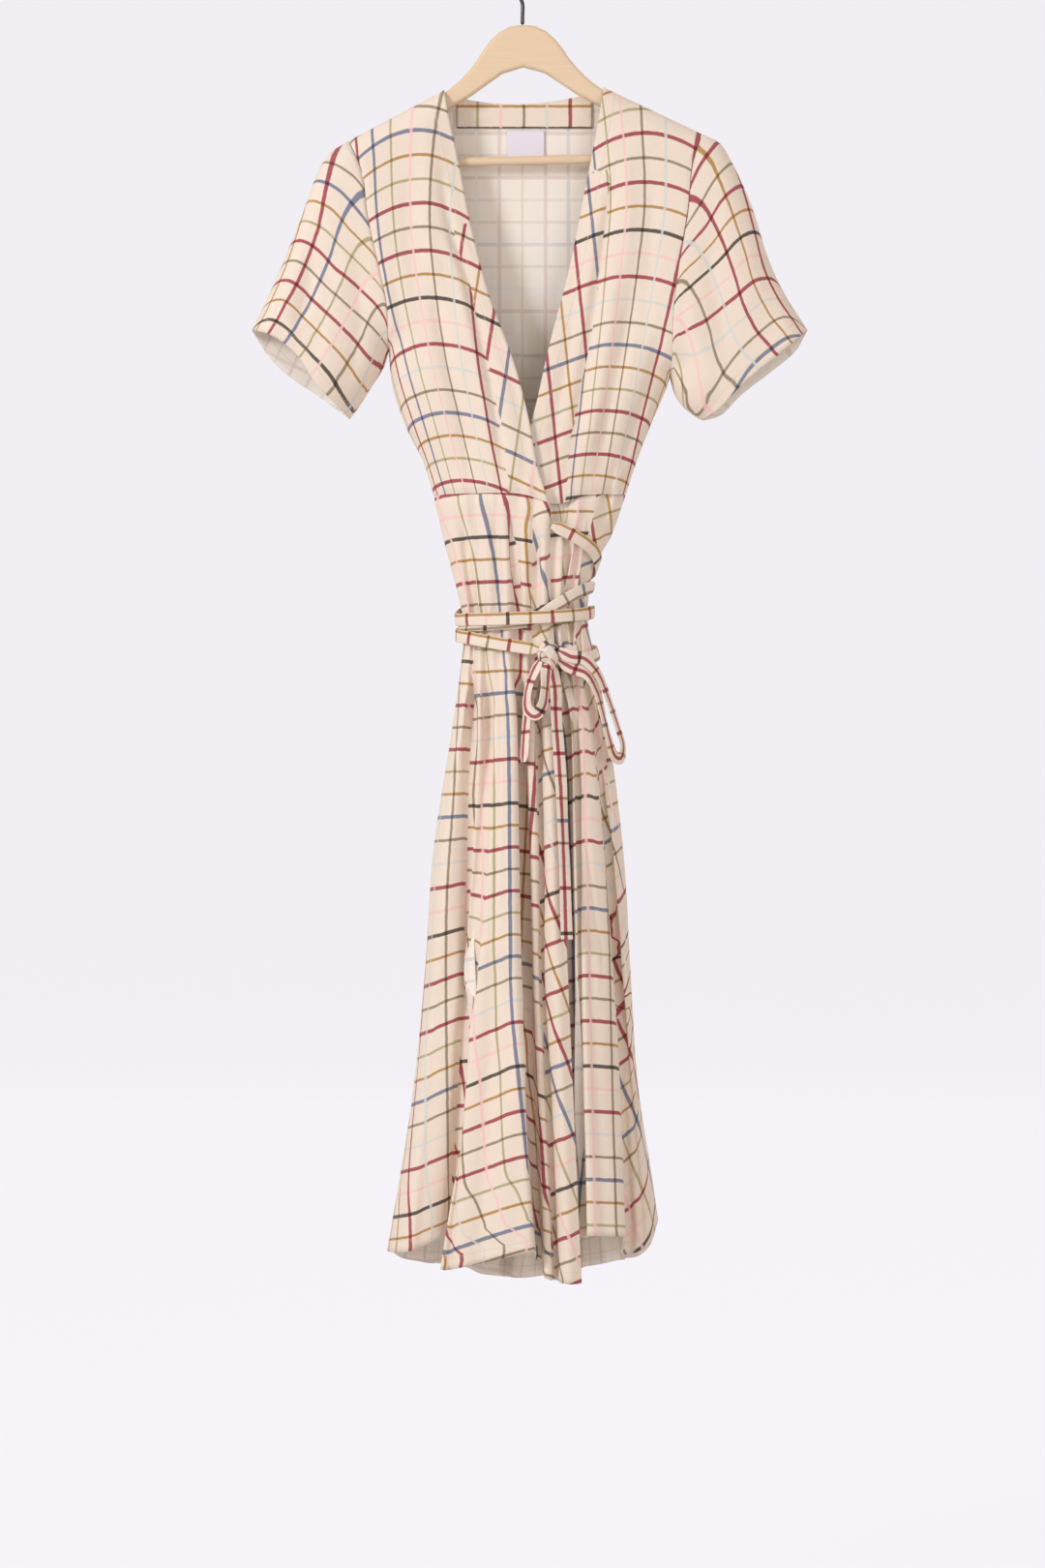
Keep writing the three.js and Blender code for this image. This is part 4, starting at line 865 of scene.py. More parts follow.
# Yarns: colour, half width in mm, and whether it lies pale over the others
GROUND = (linear(240, 227, 213), linear(234, 214, 201))
YARNS = {
    "crimson": ((0.40, 0.035, 0.085), 1.9, 0), "black": ((0.045, 0.04, 0.035), 1.9, 0),
    "blue": ((0.19, 0.255, 0.46), 1.9, 0), "ochre": ((0.52, 0.32, 0.075), 1.4, 0),
    "taupe": ((0.33, 0.30, 0.21), 1.4, 0), "sage": ((0.50, 0.53, 0.31), 1.35, 0),
    "pink": ((0.93, 0.60, 0.60), 1.6, 1), "grey": ((0.66, 0.71, 0.70), 1.4, 1),
}
LINES_DOWN = ["ochre", "blue", "taupe", "grey", "crimson", "pink", "black", "ochre", "crimson", "taupe",
              "crimson", "sage"]
LINES_ACROSS = ["ochre", "crimson", "grey", "taupe", "pink", "sage", "blue", "crimson"]
WIDEST, LINE_EDGE, LINE_WOBBLE, PALE_COVER = 4.0, 0.45, 0.05, 0.85
# The wrong side is mixed toward near-white. This is partly the cloth's own paler back and partly painted
# light, as if light shone through the thin cloth
WRONG_SIDE_PALE_AND_LIT_MIX, THREAD_PITCH = 0.74, 0.42
STITCHES_A_LINE, STITCH_PART, STITCH_MIX = 7.5, 0.68, 0.55
TURNED_MIDDLE, TURNED_HALF = 6.2, 5.8


def check_cloth(name, wrong_side=False):
    made = Maker(name)
    uv = made.node("ShaderNodeUVMap", uv_map="print").outputs[0]
    split = made.node("ShaderNodeSeparateXYZ")
    made.put(split.inputs[0], uv)
    soft_noise = made.math("MULTIPLY", made.noise(uv, 1.1, 3), 0.5)
    colour = made.mixed("MIX", soft_noise, *GROUND)
    strand = made.noise(uv, 34.0, 2, 0.6)
    for axis, lines, pitch in ((1, LINES_DOWN, PITCH_DOWN), (0, LINES_ACROSS, PITCH_ACROSS)):
        wobble = made.noise(uv, 2.3 + axis, 3)
        number = made.math("ADD", split.outputs[axis], made.math(
            "MULTIPLY_ADD", wobble, LINE_WOBBLE, -LINE_WOBBLE / 2))
        shifted = made.math("ADD", number, 0.5)
        away = made.math("MULTIPLY", made.off(made.math("FRACT", shifted), 0.5), pitch)
        index = made.math("FLOORED_MODULO", made.math("FLOOR", shifted), len(lines))
        place = made.math("DIVIDE", made.math("ADD", index, 0.5), len(lines))
        yarn = made.steps(place, [(YARNS[line][0], YARNS[line][1] / WIDEST) for line in lines])
        over = made.steps(place, [((YARNS[line][2],) * 3, 1) for line in lines])
        half = made.math("MULTIPLY", yarn[1], WIDEST)
        edge = made.node("ShaderNodeMapRange", interpolation_type="SMOOTHSTEP")
        made.put(edge.inputs["Value"], made.math("SUBTRACT", away, half))
        for key, value in (("From Min", -LINE_EDGE), ("From Max", LINE_EDGE), ("To Min", 1), ("To Max", 0)):
            edge.inputs[key].default_value = value
        fray = made.math("MULTIPLY_ADD", strand, 0.3, 0.76)
        mask = made.math("MULTIPLY", edge.outputs[0], fray, clamp=True)
        pale = made.math("MULTIPLY", mask, made.math("MULTIPLY", over[0], PALE_COVER))
        dark = made.math("MULTIPLY", mask, made.math("SUBTRACT", 1.0, over[0]))
        colour = made.mixed("MULTIPLY", dark, colour, yarn[0])
        colour = made.mixed("MIX", pale, colour, yarn[0])
    if wrong_side:
        # Paler back of the cloth, with painted light shining through it
        colour = made.mixed("MIX", WRONG_SIDE_PALE_AND_LIT_MIX, colour, linear(250, 245, 239))
    edge_away = made.node("ShaderNodeAttribute", attribute_name="hem").outputs["Fac"]
    near_stitch = made.math("LESS_THAN", made.off(edge_away, HEM_TURN), STITCH_HALF)
    slant = made.math("ADD", split.outputs[0], split.outputs[1])
    along = made.math("FRACT", made.math("MULTIPLY", slant, STITCHES_A_LINE))
    stitch = made.math("MULTIPLY", near_stitch, made.math("LESS_THAN", along, STITCH_PART))
    colour = made.mixed("MIX", made.math("MULTIPLY", stitch, STITCH_MIX), colour, linear(214, 196, 178))
    turned = made.math("LESS_THAN", made.off(edge_away, TURNED_MIDDLE), TURNED_HALF)
    threads = [made.math("SINE", made.math("MULTIPLY", socket, 2 * math.pi * pitch / THREAD_PITCH))
               for socket, pitch in zip(split.outputs, (PITCH_ACROSS, PITCH_DOWN))]
    weave = made.math("MULTIPLY", *threads)
    crumple = made.noise(uv, 1.6, 4, 0.55)
    sewn = made.math("SUBTRACT", made.math("MULTIPLY", turned, 0.9), made.math("MULTIPLY", near_stitch, 1.2))
    relief = made.math("MULTIPLY_ADD", strand, 0.6, made.math("MULTIPLY", weave, 0.35))
    rough = made.bump(made.math("ADD", relief, sewn), 0.3, 0.0003)
    made.surface(colour, made.bump(crumple, 0.35, 0.0022, rough))
    return made.finish(Roughness=0.82, Specular_IOR_Level=0.25, Sheen_Weight=0.12, Sheen_Roughness=0.5)


def wood():
    made = Maker("pale wood")
    where = made.node("ShaderNodeTexCoord").outputs["Object"]
    stretch = made.node("ShaderNodeMapping")
    made.put(stretch.inputs[0], where)
    stretch.inputs["Scale"].default_value = (6, 60, 90)
    grain = made.noise(stretch.outputs[0], 3.0, 6, 0.6)
    fine = made.noise(stretch.outputs[0], 18.0, 3, 0.7)
    colour = made.mixed("MIX", grain, linear(238, 217, 190), linear(226, 198, 164))
    colour = made.mixed("MULTIPLY", made.math("MULTIPLY", fine, 0.25), colour, linear(216, 186, 150))
    made.surface(colour, made.bump(fine, 0.12, 0.0004))
    return made.finish(Roughness=0.42, Coat_Weight=0.15)


def dark_wire():
    made = Maker("dark wire")
    worn, colour = made.speckled(160.0, 4, 0.6, linear(60, 58, 58), linear(88, 84, 80))
    made.surface(colour, made.bump(worn, 0.1, 0.0003))
    made.put(made.shader.inputs["Roughness"], made.math("MULTIPLY_ADD", worn, 0.2, 0.28))
    return made.finish(Metallic=0.95)


def label_cloth():
    made = Maker("label cloth")
    speck, colour = made.speckled(900.0, 2, 0.5, linear(236, 231, 243), linear(226, 221, 236))
    made.surface(colour, made.bump(speck, 0.3, 0.0002))
    return made.finish(Roughness=0.6, Sheen_Weight=0.2)


def studio_paper():
    made = Maker("studio paper")
    _, colour = made.speckled(3.0, 2, 0.5, (0.10, 0.10, 0.10), (0.097, 0.097, 0.097))
    made.put(made.shader.inputs["Base Color"], colour)
    return made.finish(Emission_Color=(0.957, 0.941, 1, 1), Emission_Strength=0.83, Roughness=0.95)


CHECK, CHECK_WRONG = check_cloth("check cloth"), check_cloth("check cloth wrong side", wrong_side=True)
CLOTH_SIDES = (CHECK, CHECK_WRONG)

# Camera and lights
VIEW_DROP, VIEW_BACK, LENS, SENSOR = 0.868, 4.2, 93.33, 36
camera = placed("camera", bpy.data.cameras.new("camera"))
camera.data.sensor_fit, camera.data.sensor_height, camera.data.sensor_width = "VERTICAL", SENSOR, SENSOR
camera.data.lens = LENS
camera.location, camera.rotation_euler = (0, -VIEW_BACK, -VIEW_DROP), (math.pi / 2, 0, 0)
bpy.context.scene.camera = camera


def area_light(name, place, aim, size, watts, colour=(1, 1, 1)):
    light = placed(name, bpy.data.lights.new(name, "AREA"))
    light.data.shape, light.data.size, light.data.energy, light.data.color = "DISK", size, watts, colour
    light.location = place
    light.rotation_euler = (Vector(aim) - Vector(place)).to_track_quat("-Z", "Y").to_euler()


bpy.context.scene.view_settings.view_transform = "Standard"
area_light("key", (-3.4, -3.0, 0.9), (0, 0, -0.8), 1.2, 108, (0.94, 0.965, 1))
area_light("fill", (2.2, -4.4, 0.0), (0, 0, -0.8), 2.6, 34, (0.95, 0.97, 1))
area_light("back", (1.5, 3.2, 1.2), (0, 0, -0.7), 2.0, 14)
world = bpy.data.worlds.new("studio")
world.use_nodes = True
for socket, value in enumerate(((1, 0.885, 0.80, 1), 0.63)):
    world.node_tree.nodes["Background"].inputs[socket].default_value = value
bpy.context.scene.world = world


def studio(radius=9.0, floor=-1.75, height=6.0, curve=2.0, around=96):
    """Pale floor that rises in one sweep to a round wall."""
    profile = [(0.0, floor), (radius * 0.4, floor)]
    profile += [(radius - curve + curve * math.sin(a), floor + curve * (1 - math.cos(a)))
                for a in np.radians(np.linspace(0, 90, 13))]
    profile.append((radius, floor + height))
    angles = np.linspace(0, 2 * math.pi, around, endpoint=False)
    verts = [(r * math.cos(a), r * math.sin(a), z) for r, z in profile[1:] for a in angles]
    verts.append((0, 0, floor))
    faces = []
    for i in range(len(profile) - 2):
        for j in range(around):
            k = (j + 1) % around
            faces.append((i * around + j, i * around + k, (i + 1) * around + k, (i + 1) * around + j))
    faces += [(len(verts) - 1, (j + 1) % around, j) for j in range(around)]
    mesh = bpy.data.meshes.new("studio_floor")
    mesh.from_pydata(verts, [], faces)
    mesh.polygons.foreach_set("use_smooth", [True] * len(faces))
    mesh.materials.append(studio_paper())
    piece = placed("studio_floor", mesh)
    piece.visible_diffuse = False


studio()


# Bodice pieces. Crossings of the check: across, drop, p, q
OVER_CROSSINGS = [
    (-151, 211, 6, 1), (-155, 260, 6, -1), (-150, 308, 6, -3), (-139, 355, 6, -5), (-126, 401, 6, -7),
    (-114, 449, 6, -9), (-102, 493, 6, -11), (-92, 226, 3, 0), (-93, 299, 3, -3), (-88, 368, 3, -6),
    (-81, 439, 3, -9), (-73, 485, 3, -11), (-57, 280, 1, -2), (-48, 386, 1, -6), (-35, 498, 1, -11),
]
UNDER_CROSSINGS = [
    (103, 203, -4, -2), (125, 205, -5, -2), (172, 207, -7, -2), (87, 226, -3, -3), (107, 273, -4, -5),
    (130, 277, -5, -5), (150, 280, -6, -5), (100, 342, -4, -8), (117, 346, -5, -8), (141, 349, -6, -8),
    (99, 413, -5, -11), (122, 419, -6, -11), (140, 428, -7, -11), (61, 361, -1, -8), (67, 528, -3, -16),
]
GRAIN_PATHS = {
    "left": table("drop across", (180, -92), (300, -92), (368, -87), (439, -80), (485, -73), (570, -60)),
    "right": table("drop across", (180, 104), (273, 107), (342, 100), (413, 92), (570, 72)),
}
SLEEVE_CROSSINGS = {
    "left": [
        (-190, 230, 7, 2), (-205, 271, 7, 0), (-220, 316, 7, -2), (-233, 355, 7, -4), (-253, 393, 7, -6),
        (-173, 248, 6, 2), (-187, 291, 6, 0), (-200, 333, 6, -2), (-217, 371, 6, -4), (-232, 405, 6, -6),
        (-173, 327, 5, -1), (-190, 368, 5, -3), (-221, 421, 5, -6), (-169, 417, 3, -4), (-193, 457, 3, -6)],
    "right": [
        (187, 263, 1, -3), (201, 302, 1, -5), (214, 346, 1, -7), (231, 386, 1, -9), (255, 424, 1, -11),
        (188, 226, 0, -2), (209, 264, 0, -4), (225, 309, 0, -6), (248, 372, 0, -9), (271, 409, 0, -11),
        (187, 397, 3, -8), (208, 436, 3, -10), (220, 456, 3, -11), (204, 380, 2, -8), (238, 442, 2, -11)],
}

for side, node, crossings in (("left", "bodice_front_over", OVER_CROSSINGS),
                              ("right", "bodice_front_under", UNDER_CROSSINGS)):
    grid, plain, inward = bodice_front(side)
    if side == "left":
        grid, plain, inward = grid[:, ::-1], plain[:, ::-1], inward[:, ::-1]
    uv = print_from_crossings(plain, crossings, np.ones(grid.shape[:2], bool), path=GRAIN_PATHS[side])
    piece = cloth_piece(node.replace("bodice", "checked_bodice"), grid, uv, CLOTH_SIDES, hem=inward,
                        turned=[flap_print(plain, *FLAPS[side])])
    settle(piece, node)

grid = bodice_back()
s = arcs(grid, 1)
middle = np.array([np.interp(0, row, line) for row, line in zip(grid[..., 0], s)])
uv = np.stack([-(s - middle[:, None]) / PITCH_ACROSS, (-grid[..., 2] - BACK_ROW_AT) / PITCH_DOWN], -1)
piece = cloth_piece("checked_bodice_back", grid[:, ::-1], uv[:, ::-1], CLOTH_SIDES)
settle(piece, "bodice_back")

for side in SIDES:
    grid, hem = sleeve(side)
    cols = grid.shape[1]
    closed = np.concatenate([grid, grid[:, :1]], axis=1)
    usable = np.zeros(closed.shape[:2], bool)
    usable[:, :cols // 2] = True
    uv = print_from_crossings(closed, SLEEVE_CROSSINGS[side], usable)
    back = np.linspace(1, 0, cols + 1 - cols // 2)[None, :, None]
    uv[:, cols // 2:] = mix(uv[:, :1] + np.array([2.2, 1.0]), uv[:, cols // 2:cols // 2 + 1], back)
    hem = np.broadcast_to(hem, grid.shape[:2])
    if side == "right":
        grid, uv, hem = grid[:, ::-1], uv[:, ::-1], hem[:, ::-1]
        grid, hem = np.roll(grid, 1, axis=1), np.roll(hem, 1, axis=1)
    piece = cloth_piece(f"checked_sleeve_{side}", grid, uv, CLOTH_SIDES, ring=True, hem=hem)
    settle(piece, f"sleeve_{side}")

# Skirt panels
OVER_LINES = [
    ([(-62, 591), (-56, 658), (-50, 700), (-53, 745)], -5, 3.5, 5),
    ([(-55, 617), (-46, 658), (-42, 700)], -3.5, 3, 5),
    ([(-30, 580), (-26, 640), (-24, 700)], -3, 3.5, 4),
    ([(-15, 570), (-9, 640), (-3, 700), (-4, 760)], -7, 3.5, 5),
    ([(16.5, 600), (14, 690), (13, 740)], -6.5, 4, 4.5),
    ([(28, 590), (30, 686), (33, 730)], -5.5, 4, 4),
    ([(-56, 748), (-54, 801), (-55, 906), (-58, 1000), (-64, 1158), (-70, 1258), (-77, 1350)], -8.5, 4, 6),
    ([(-38, 758), (-36, 800), (-35, 886), (-41, 954), (-46, 1017), (-52, 1052), (-60, 1116)], -7.5, 4, 9),
    ([(-31, 780), (-30, 850), (-32, 905), (-36, 960), (-42, 1030), (-48, 1085)], 4, 4, 8),
    ([(-10, 735), (-10, 858), (-9, 958), (-6, 1058), (2, 1158), (14, 1340)], 5, 8, 5),
    ([(-9, 740), (-1, 800), (2, 900), (4, 1008), (5, 1150), (15, 1340)], -8.5, 5.5, 4),
    ([(8, 750), (10, 858), (13, 958), (16, 1058), (20, 1158), (27, 1340)], 4, 4, 4),
    ([(13, 745), (15, 858), (18, 958), (18, 1058), (23, 1158), (31, 1360)], -7, 3, 4),
    ([(-86, 1060), (-96, 1200), (-104, 1340)], -3.5, 8, 10),
    ([(-24, 1040), (-34, 1180), (-44, 1345)], -4, 9, 12),
    ([(-2, 1120), (-14, 1220), (-22, 1345)], 3, 10, 10),
]
UNDER_LINES = [
    ([(45, 560), (46, 640), (47, 700), (44, 800), (47, 1008), (54, 1180), (59, 1320)], -8.5, 4, 4.5),
    ([(58, 590), (55, 650), (52, 700)], -4, 3, 4),
    ([(70, 590), (63, 650), (58, 700)], -4, 3.5, 4),
    ([(56, 745), (57, 900), (59, 1050), (62, 1330)], -5.5, 3, 3),
    ([(80, 750), (84, 858), (90, 958), (97, 1058), (104, 1180), (110, 1320)], -7, 3.5, 7),
    ([(88, 900), (98, 1040), (108, 1180), (118, 1330)], 4, 5, 6),
    ([(96, 1020), (108, 1150), (122, 1320)], -5.5, 4, 6),
    ([(68, 1000), (76, 1150), (84, 1325)], -3, 8, 8),
]
BACK_LINES = [
    ([(-50, 575), (-44, 700), (-46, 760)], -5, 4, 4),
    ([(-26, 575), (-22, 700), (-22, 780)], -4, 4, 4),
    ([(4, 575), (3, 700), (6, 790)], -5, 4, 5),
    ([(30, 575), (25, 700), (30, 760)], -4, 4, 4),
    ([(58, 575), (45, 700), (52, 770)], -5, 4, 4),
    ([(-66, 740), (-80, 940), (-98, 1380)], -7, 7, 4),
    ([(-44, 760), (-50, 940), (-60, 1380)], 4, 6, 9),
    ([(-28, 740), (-30, 980), (-34, 1380)], -8.5, 4, 7),
    ([(-8, 790), (-6, 1000), (-2, 1380)], -5.5, 8, 4),
    ([(14, 740), (24, 980), (38, 1380)], -8.5, 5, 8),
    ([(36, 780), (50, 1000), (72, 1380)], -7, 7, 4),
    ([(58, 760), (78, 980), (104, 1380)], -7, 4, 7),
]
LEAN = math.radians(-22)
RIDGE_GRAIN = table("drop across", (570, -43), (640, -29), (700, -22), (800, -15), (950, -13), (1058, -12),
                    (1110, -10), (1155, -5), (1340, 14))
LEFT_GRAIN = table("drop across", (570, -82), (700, -58), (758, -64), (858, -69), (1005, -78), (1284, -76),
                   (1350, -77))
OVER_GORES = [
    dict(folds=(0, 11), path=RIDGE_GRAIN, radius=250, drop=1111, p=6, q=16),
    dict(folds=(0, 3), path=LEFT_GRAIN, radius=400, drop=1293, p=3, q=18, below=706),
    dict(folds=(11, 13), path=table("drop across", (570, 11), (700, 9), (818, 14), (1058, 18), (1372, 31)),
         lean=LEAN, radius=300, drop=1237, p=4.2, q=16),
]
UNDER_GORES = [
    dict(folds=(0, 4), path=table("drop across", (570, 78), (700, 54), (818, 72), (1058, 92), (1331, 108)),
         lean=LEAN, radius=300, drop=1228, p=5, q=1, hand=-1),
    dict(folds=(4, 12), path=table("drop across", (570, 58), (700, 52), (818, 62), (1058, 68), (1331, 74)),
         radius=300, drop=1154, p=4, q=-6, flow=-1, hand=-1),
]
BACK_GORES = [
    dict(folds=(0, 8.5), path=table("drop across", (570, -40), (700, -28), (1058, -40), (1380, -52)),
         radius=260, drop=1100, p=3, q=16),
    dict(folds=(8.5, 16), path=table("drop across", (570, 40), (700, 28), (1058, 62), (1380, 84)),
         radius=260, drop=1112, p=1, q=16),
]
for node, folds, lines, face, gores, seed, lap, options in (
        ("skirt_front_over", OVER_FOLDS, OVER_LINES, "front", OVER_GORES, 3, LAP["left"], {}),
        ("skirt_front_under", UNDER_FOLDS, UNDER_LINES, "front", UNDER_GORES, 8, LAP["right"], {}),
        ("skirt_back", BACK_FOLDS, BACK_LINES, "back", BACK_GORES, 21, 0, {"sewn_end": True, "dip": False})):
    grid, at, v = skirt_panel(folds, face, **options)
    s = arcs(grid, 1)
    away = np.minimum(s, s[:, -1:] - s) if options else s
    grid = pushed_out(grid, away, fold_field(lines, grid[..., 0], -grid[..., 2]))
    uv, *turned = gore_print(grid, at, gores)
    grid = with_small_folds(grid, away, seed, lap)
    hem = (1 - v)[:, None] * SKIRT_LENGTH + 0 * grid[..., 0]
    if node != "skirt_front_over":
        grid, uv = grid[:, ::-1], uv[:, ::-1]
        turned = [(other[:, ::-1], belongs[:, ::-1]) for other, belongs in turned]
    piece = cloth_piece("checked_" + node, grid, uv, CLOTH_SIDES, hem=hem, turned=turned)
    settle(piece, node)

# Facing and label at the back neck
def on_back(sides, top_at, bottom, thickness, room, cols, rows):
    """Grid that lies inside the bodice's back."""
    across = np.linspace(*sides, cols + 1)[None, :]
    drop = mix(top_at(across), bottom, np.linspace(0, 1, rows + 1)[:, None])
    across = across + 0 * drop
    depth = np.where(across < 0, *[bodice_depth(side, across, drop, "back") for side in SIDES])
    out = SEAM_GAP / 2 + depth - HALF_WALL - LAYER_GAP - room - thickness / 2
    return np.stack([across, out, -drop], -1)


grid = on_back(FACING_SIDES, lambda a: column(BACK_NECK, "drop", a, "across") + 0.8, FACING_DROP,
               FACING_WALL, FACING_ROOM, 70, 20)
uv = np.stack([4 - (grid[..., 0] + FACING_CROSSING[0]) / PITCH_ACROSS,
               -5 - (-grid[..., 2] - FACING_CROSSING[1]) / PITCH_DOWN], -1)
piece = cloth_piece("checked_neck_facing", grid, uv, (CHECK, CHECK), thickness=0.8)
settle(piece, "back_neck_facing")
grid = on_back(LABEL_SIDES, lambda a: LABEL_DROPS[0] + 0 * a, LABEL_DROPS[1], LABEL_WALL, 0, 24, 22)
uv = np.stack([grid[..., 0], grid[..., 2]], -1)
piece = cloth_piece("plain_label", grid, uv, (label_cloth(),), thickness=0.5)
settle(piece, "label")

# Ties
TIES = (("tie_over", *wound_route(OVER_TIE), -0.39, 3), ("tie_under", *wound_route(UNDER_TIE, 190), 2.61, 0),
        ("bow_loop", *free_route(BOW_LOOP), 1.0, 5), ("small_loop", *free_route(SMALL_LOOP), 0.9, 3),
        ("long_tail", *free_route(LONG_TAIL, 130), 0.95, 6), ("short_tail", *free_route(SHORT_TAIL), 0.95, 1))
for node, centres, facings, p_line, q_start in TIES:
    ends = (True, True) if node != "long_tail" else (True, False)
    settle(tie_piece("checked_" + node, centres, facings, p_line, q_start, ends), node)


# Wraps of the knot: places (across, front, drop) of a band's middle, its width, and its print
KNOT_WRAPS = [
    ([(17, 44, 731), (19, 51, 728), (25, 55, 730), (31, 54.5, 738), (33, 49, 745), (31, 43, 748)],
     10.5, 6.6, 2.2),
    ([(33, 42, 727), (31, 49, 724), (26, 52, 723), (20, 52, 727), (16.5, 48, 735), (17, 43, 741)],
     8.5, 2.5, 5.3),
    ([(20, 42, 748), (20, 49, 745), (24, 53.5, 741), (29, 52.5, 745), (31, 47, 750)], 8, 0.4, 7.6),
]


def joined(name, pieces):
    """One mesh of several."""
    work = bmesh.new()
    for piece in pieces:
        work.from_mesh(piece.data)
    mesh = bpy.data.meshes.new(name)
    work.to_mesh(mesh)
    work.free()
    mesh.materials.append(CHECK)
    whole = placed(name, mesh)
    for piece in pieces:
        bpy.data.objects.remove(piece)
    return whole


def knot():
    """Knot of a plump core and the bands wound over it."""
    rows, cols = 32, 40
    a = np.linspace(0.02, math.pi - 0.02, rows + 1)[:, None]
    b = np.linspace(0, 2 * math.pi, cols, endpoint=False)[None, :]
    folds = 0.9 + 0.05 * np.sin(5 * a + 1.3 * np.sin(b)) + 0.04 * np.sin(3 * b + 2 * a)
    x = KNOT_SIZE[0] / 2 * np.sin(a) * np.cos(b) * folds
    y = KNOT_SIZE[1] / 2 * np.sin(a) * np.sin(b) * folds
    z = KNOT_SIZE[2] / 2 * np.cos(a) * (0.9 + 0.05 * folds) + 0 * b
    grid = np.stack([x + KNOT_AT[0], y + KNOT_AT[1], z + KNOT_AT[2]], -1)
    uv = np.stack(np.broadcast_arrays(0.4 + np.append(b[0], 2 * math.pi)[None, :] / 2.2, 2 + a * 0.5), -1)
    core = cloth_piece("knot_core", grid, uv, (CHECK,), ring=True, thickness=0)
    close_ends(core, rows + 1, cols)
    bands = []
    for places, width, p, q in KNOT_WRAPS:
        places = np.array(places, float)
        rows = {"across": places[:, 0], "front": places[:, 1], "drop": places[:, 2], "face": 0 * places[:, 0]}
        centres, _ = free_route(rows, 40)
        away = centres - np.array(KNOT_AT)
        bands.append(tie_piece("knot_band", centres, away, p, q, (False, False), width))
    return joined("checked_tie_knot", [core, *bands])


settle(knot(), "tie_knot")

# Hanger
WOOD = wood()


def curve_piece(name, make, material):
    """Mesh of a bevelled curve."""
    data = bpy.data.curves.new(name, "CURVE")
    make(data)
    shape = placed(name + "_curve", data)
    mesh = bpy.data.meshes.new_from_object(shape.evaluated_get(bpy.context.evaluated_depsgraph_get()))
    bpy.data.objects.remove(shape)
    mesh.materials.clear()
    mesh.materials.append(material)
    mesh.polygons.foreach_set("use_smooth", [True] * len(mesh.polygons))
    return placed(name, mesh)


def tilted(piece):
    """Places a piece in the hanger's tilted frame, whose origin is the top of its dome."""
    turn = np.array([[math.cos(HANGER_TILT), 0, math.sin(HANGER_TILT)], [0, 1, 0],
                     [-math.sin(HANGER_TILT), 0, math.cos(HANGER_TILT)]])
    for vertex in piece.data.vertices:
        place = turn @ np.array(vertex.co) + np.array([0, 0, -HANGER_TOP * MM])
        vertex.co = place
    return piece


def hanger_outline(data):
    data.dimensions, data.fill_mode = "2D", "BOTH"
    data.extrude = (HANGER_THICK / 2 - HANGER_ROUND) * MM
    data.bevel_depth, data.bevel_resolution, data.offset = HANGER_ROUND * MM, 5, -HANGER_ROUND * MM
    points = [(a, -b) for a, b in ARM] + [(-a, -b) for a, b in ARM[-2:0:-1]]
    spline = data.splines.new("POLY")
    spline.points.add(len(points) - 1)
    for point, (a, b) in zip(spline.points, points):
        point.co = (a * MM, b * MM, 0, 1)
    spline.use_cyclic_u = True


body = curve_piece("wooden_hanger", hanger_outline, WOOD)
for vertex in body.data.vertices:
    x, y, z = vertex.co
    vertex.co = (x, z, y)
body.data.flip_normals()
tilted(body)
settle(body, "hanger_body")


def round_bar(name, centres, side, radius, material, end_radius):
    """Round bar along a path, with its ends rounded over."""
    length = lengths_along(centres)
    close = end_radius * np.array([0.02, 0.12, 0.3, 0.6, 1.0])
    at = np.unique(np.concatenate([length, close, length[-1] - close]))
    centres = np.stack([np.interp(at, length, centres[:, k]) for k in range(3)], -1)
    tangent = np.gradient(centres, at, axis=0)
    tangent /= np.linalg.norm(tangent, axis=1, keepdims=True)
    side = np.broadcast_to(side, tangent.shape)
    up = np.cross(tangent, side)
    up /= np.linalg.norm(up, axis=1, keepdims=True)
    from_end = np.minimum(at, at[-1] - at)
    size = radius - end_radius + end_radius * roll(from_end, end_radius)
    around = np.linspace(0, 2 * math.pi, BAR_STEPS, endpoint=False)
    grid = centres[:, None] + size[:, None, None] * (
        side[:, None] * np.cos(around)[None, :, None] + up[:, None] * np.sin(around)[None, :, None])
    uv = np.zeros((len(at), BAR_STEPS + 1, 2))
    piece = cloth_piece(name, grid, uv, (material,), ring=True, thickness=0)
    close_ends(piece, len(at), BAR_STEPS)
    return piece


span = np.linspace(-BAR_HALF, BAR_HALF, 90)
along_bar = np.stack([span, 0 * span, 0 * span - BAR_DROP], -1)
bar = round_bar("trouser_bar", along_bar, (0, 1, 0), BAR_RADIUS, WOOD, 1.2)
settle(tilted(bar), "hanger_bar")

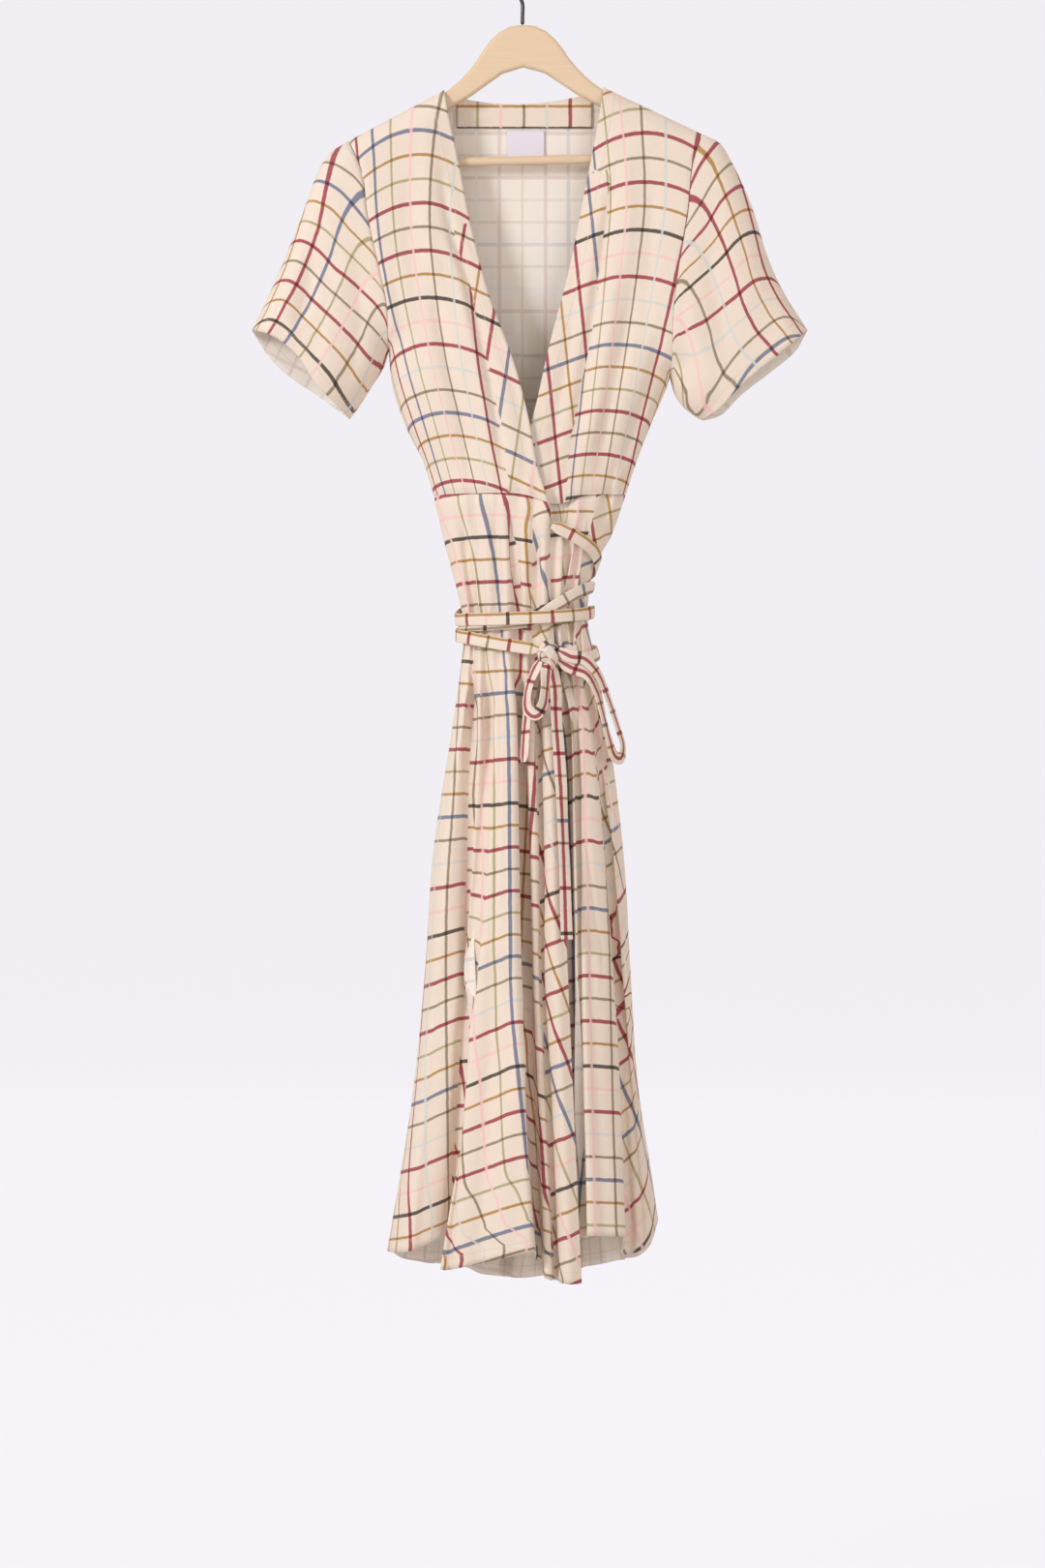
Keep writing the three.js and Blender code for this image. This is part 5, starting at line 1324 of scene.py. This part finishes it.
radius = HOOK_INNER + WIRE / 2
turns = np.radians(np.linspace(HOOK_FIRST, HOOK_LAST - 360, HOOK_POINTS + 1))
route = [(0, HANGER_TOP - SEAM_GAP), (0, HOOK_STEM), HOOK_NECK, HOOK_BEND]
route += list(zip(radius * np.cos(turns), HOOK_INNER - radius * np.sin(turns)))
route = np.array(route)
flat = 0 * route[:, 0]
centres, _ = free_route({"across": route[:, 0], "drop": route[:, 1], "front": flat, "face": flat}, 130)
hook = round_bar("wire_hook", centres, (0, 1, 0), WIRE / 2, dark_wire(), WIRE / 2)
settle(hook, "hanger_hook")

# Cloth: what each piece was cut to, in metres (width, length, area where the cut isn't a rectangle), how
# it is held and what by. Tubes are given all round.
TIE_ROUND = 0.029
CUTS = [
    ("checked_bodice_front_over", 0.19, 0.47, 0.056, "hung", "wooden_hanger"),
    ("checked_bodice_front_under", 0.19, 0.47, 0.057, "hung", "wooden_hanger"),
    ("checked_bodice_back", 0.37, 0.42, 0.128, "hung", "wooden_hanger"),
    ("checked_sleeve_left", 0.36, 0.22, 0.055, "hung", "checked_bodice_front_over"),
    ("checked_sleeve_right", 0.36, 0.22, 0.057, "hung", "checked_bodice_front_under"),
    ("checked_skirt_front_over", 0.44, 0.81, 0.21, "gathered", "checked_bodice_front_over"),
    ("checked_skirt_front_under", 0.32, 0.80, 0.16, "gathered", "checked_bodice_front_under"),
    ("checked_skirt_back", 0.65, 0.83, 0.315, "gathered", "checked_bodice_back"),
    ("checked_neck_facing", 0.145, 0.03, None, "hung", "checked_bodice_back"),
    ("plain_label", 0.039, 0.0355, None, "hung", "checked_bodice_back"),
    ("checked_tie_over", TIE_ROUND, 0.744, None, "stretched", "checked_skirt_back"),
    ("checked_tie_under", TIE_ROUND, 0.43, None, "stretched", "checked_skirt_back"),
]
CUTS += [("checked_" + node, TIE_ROUND, length, None, "hung", "checked_tie_knot") for node, length in (
    ("bow_loop", 0.272), ("small_loop", 0.119), ("long_tail", 0.282), ("short_tail", 0.101))]
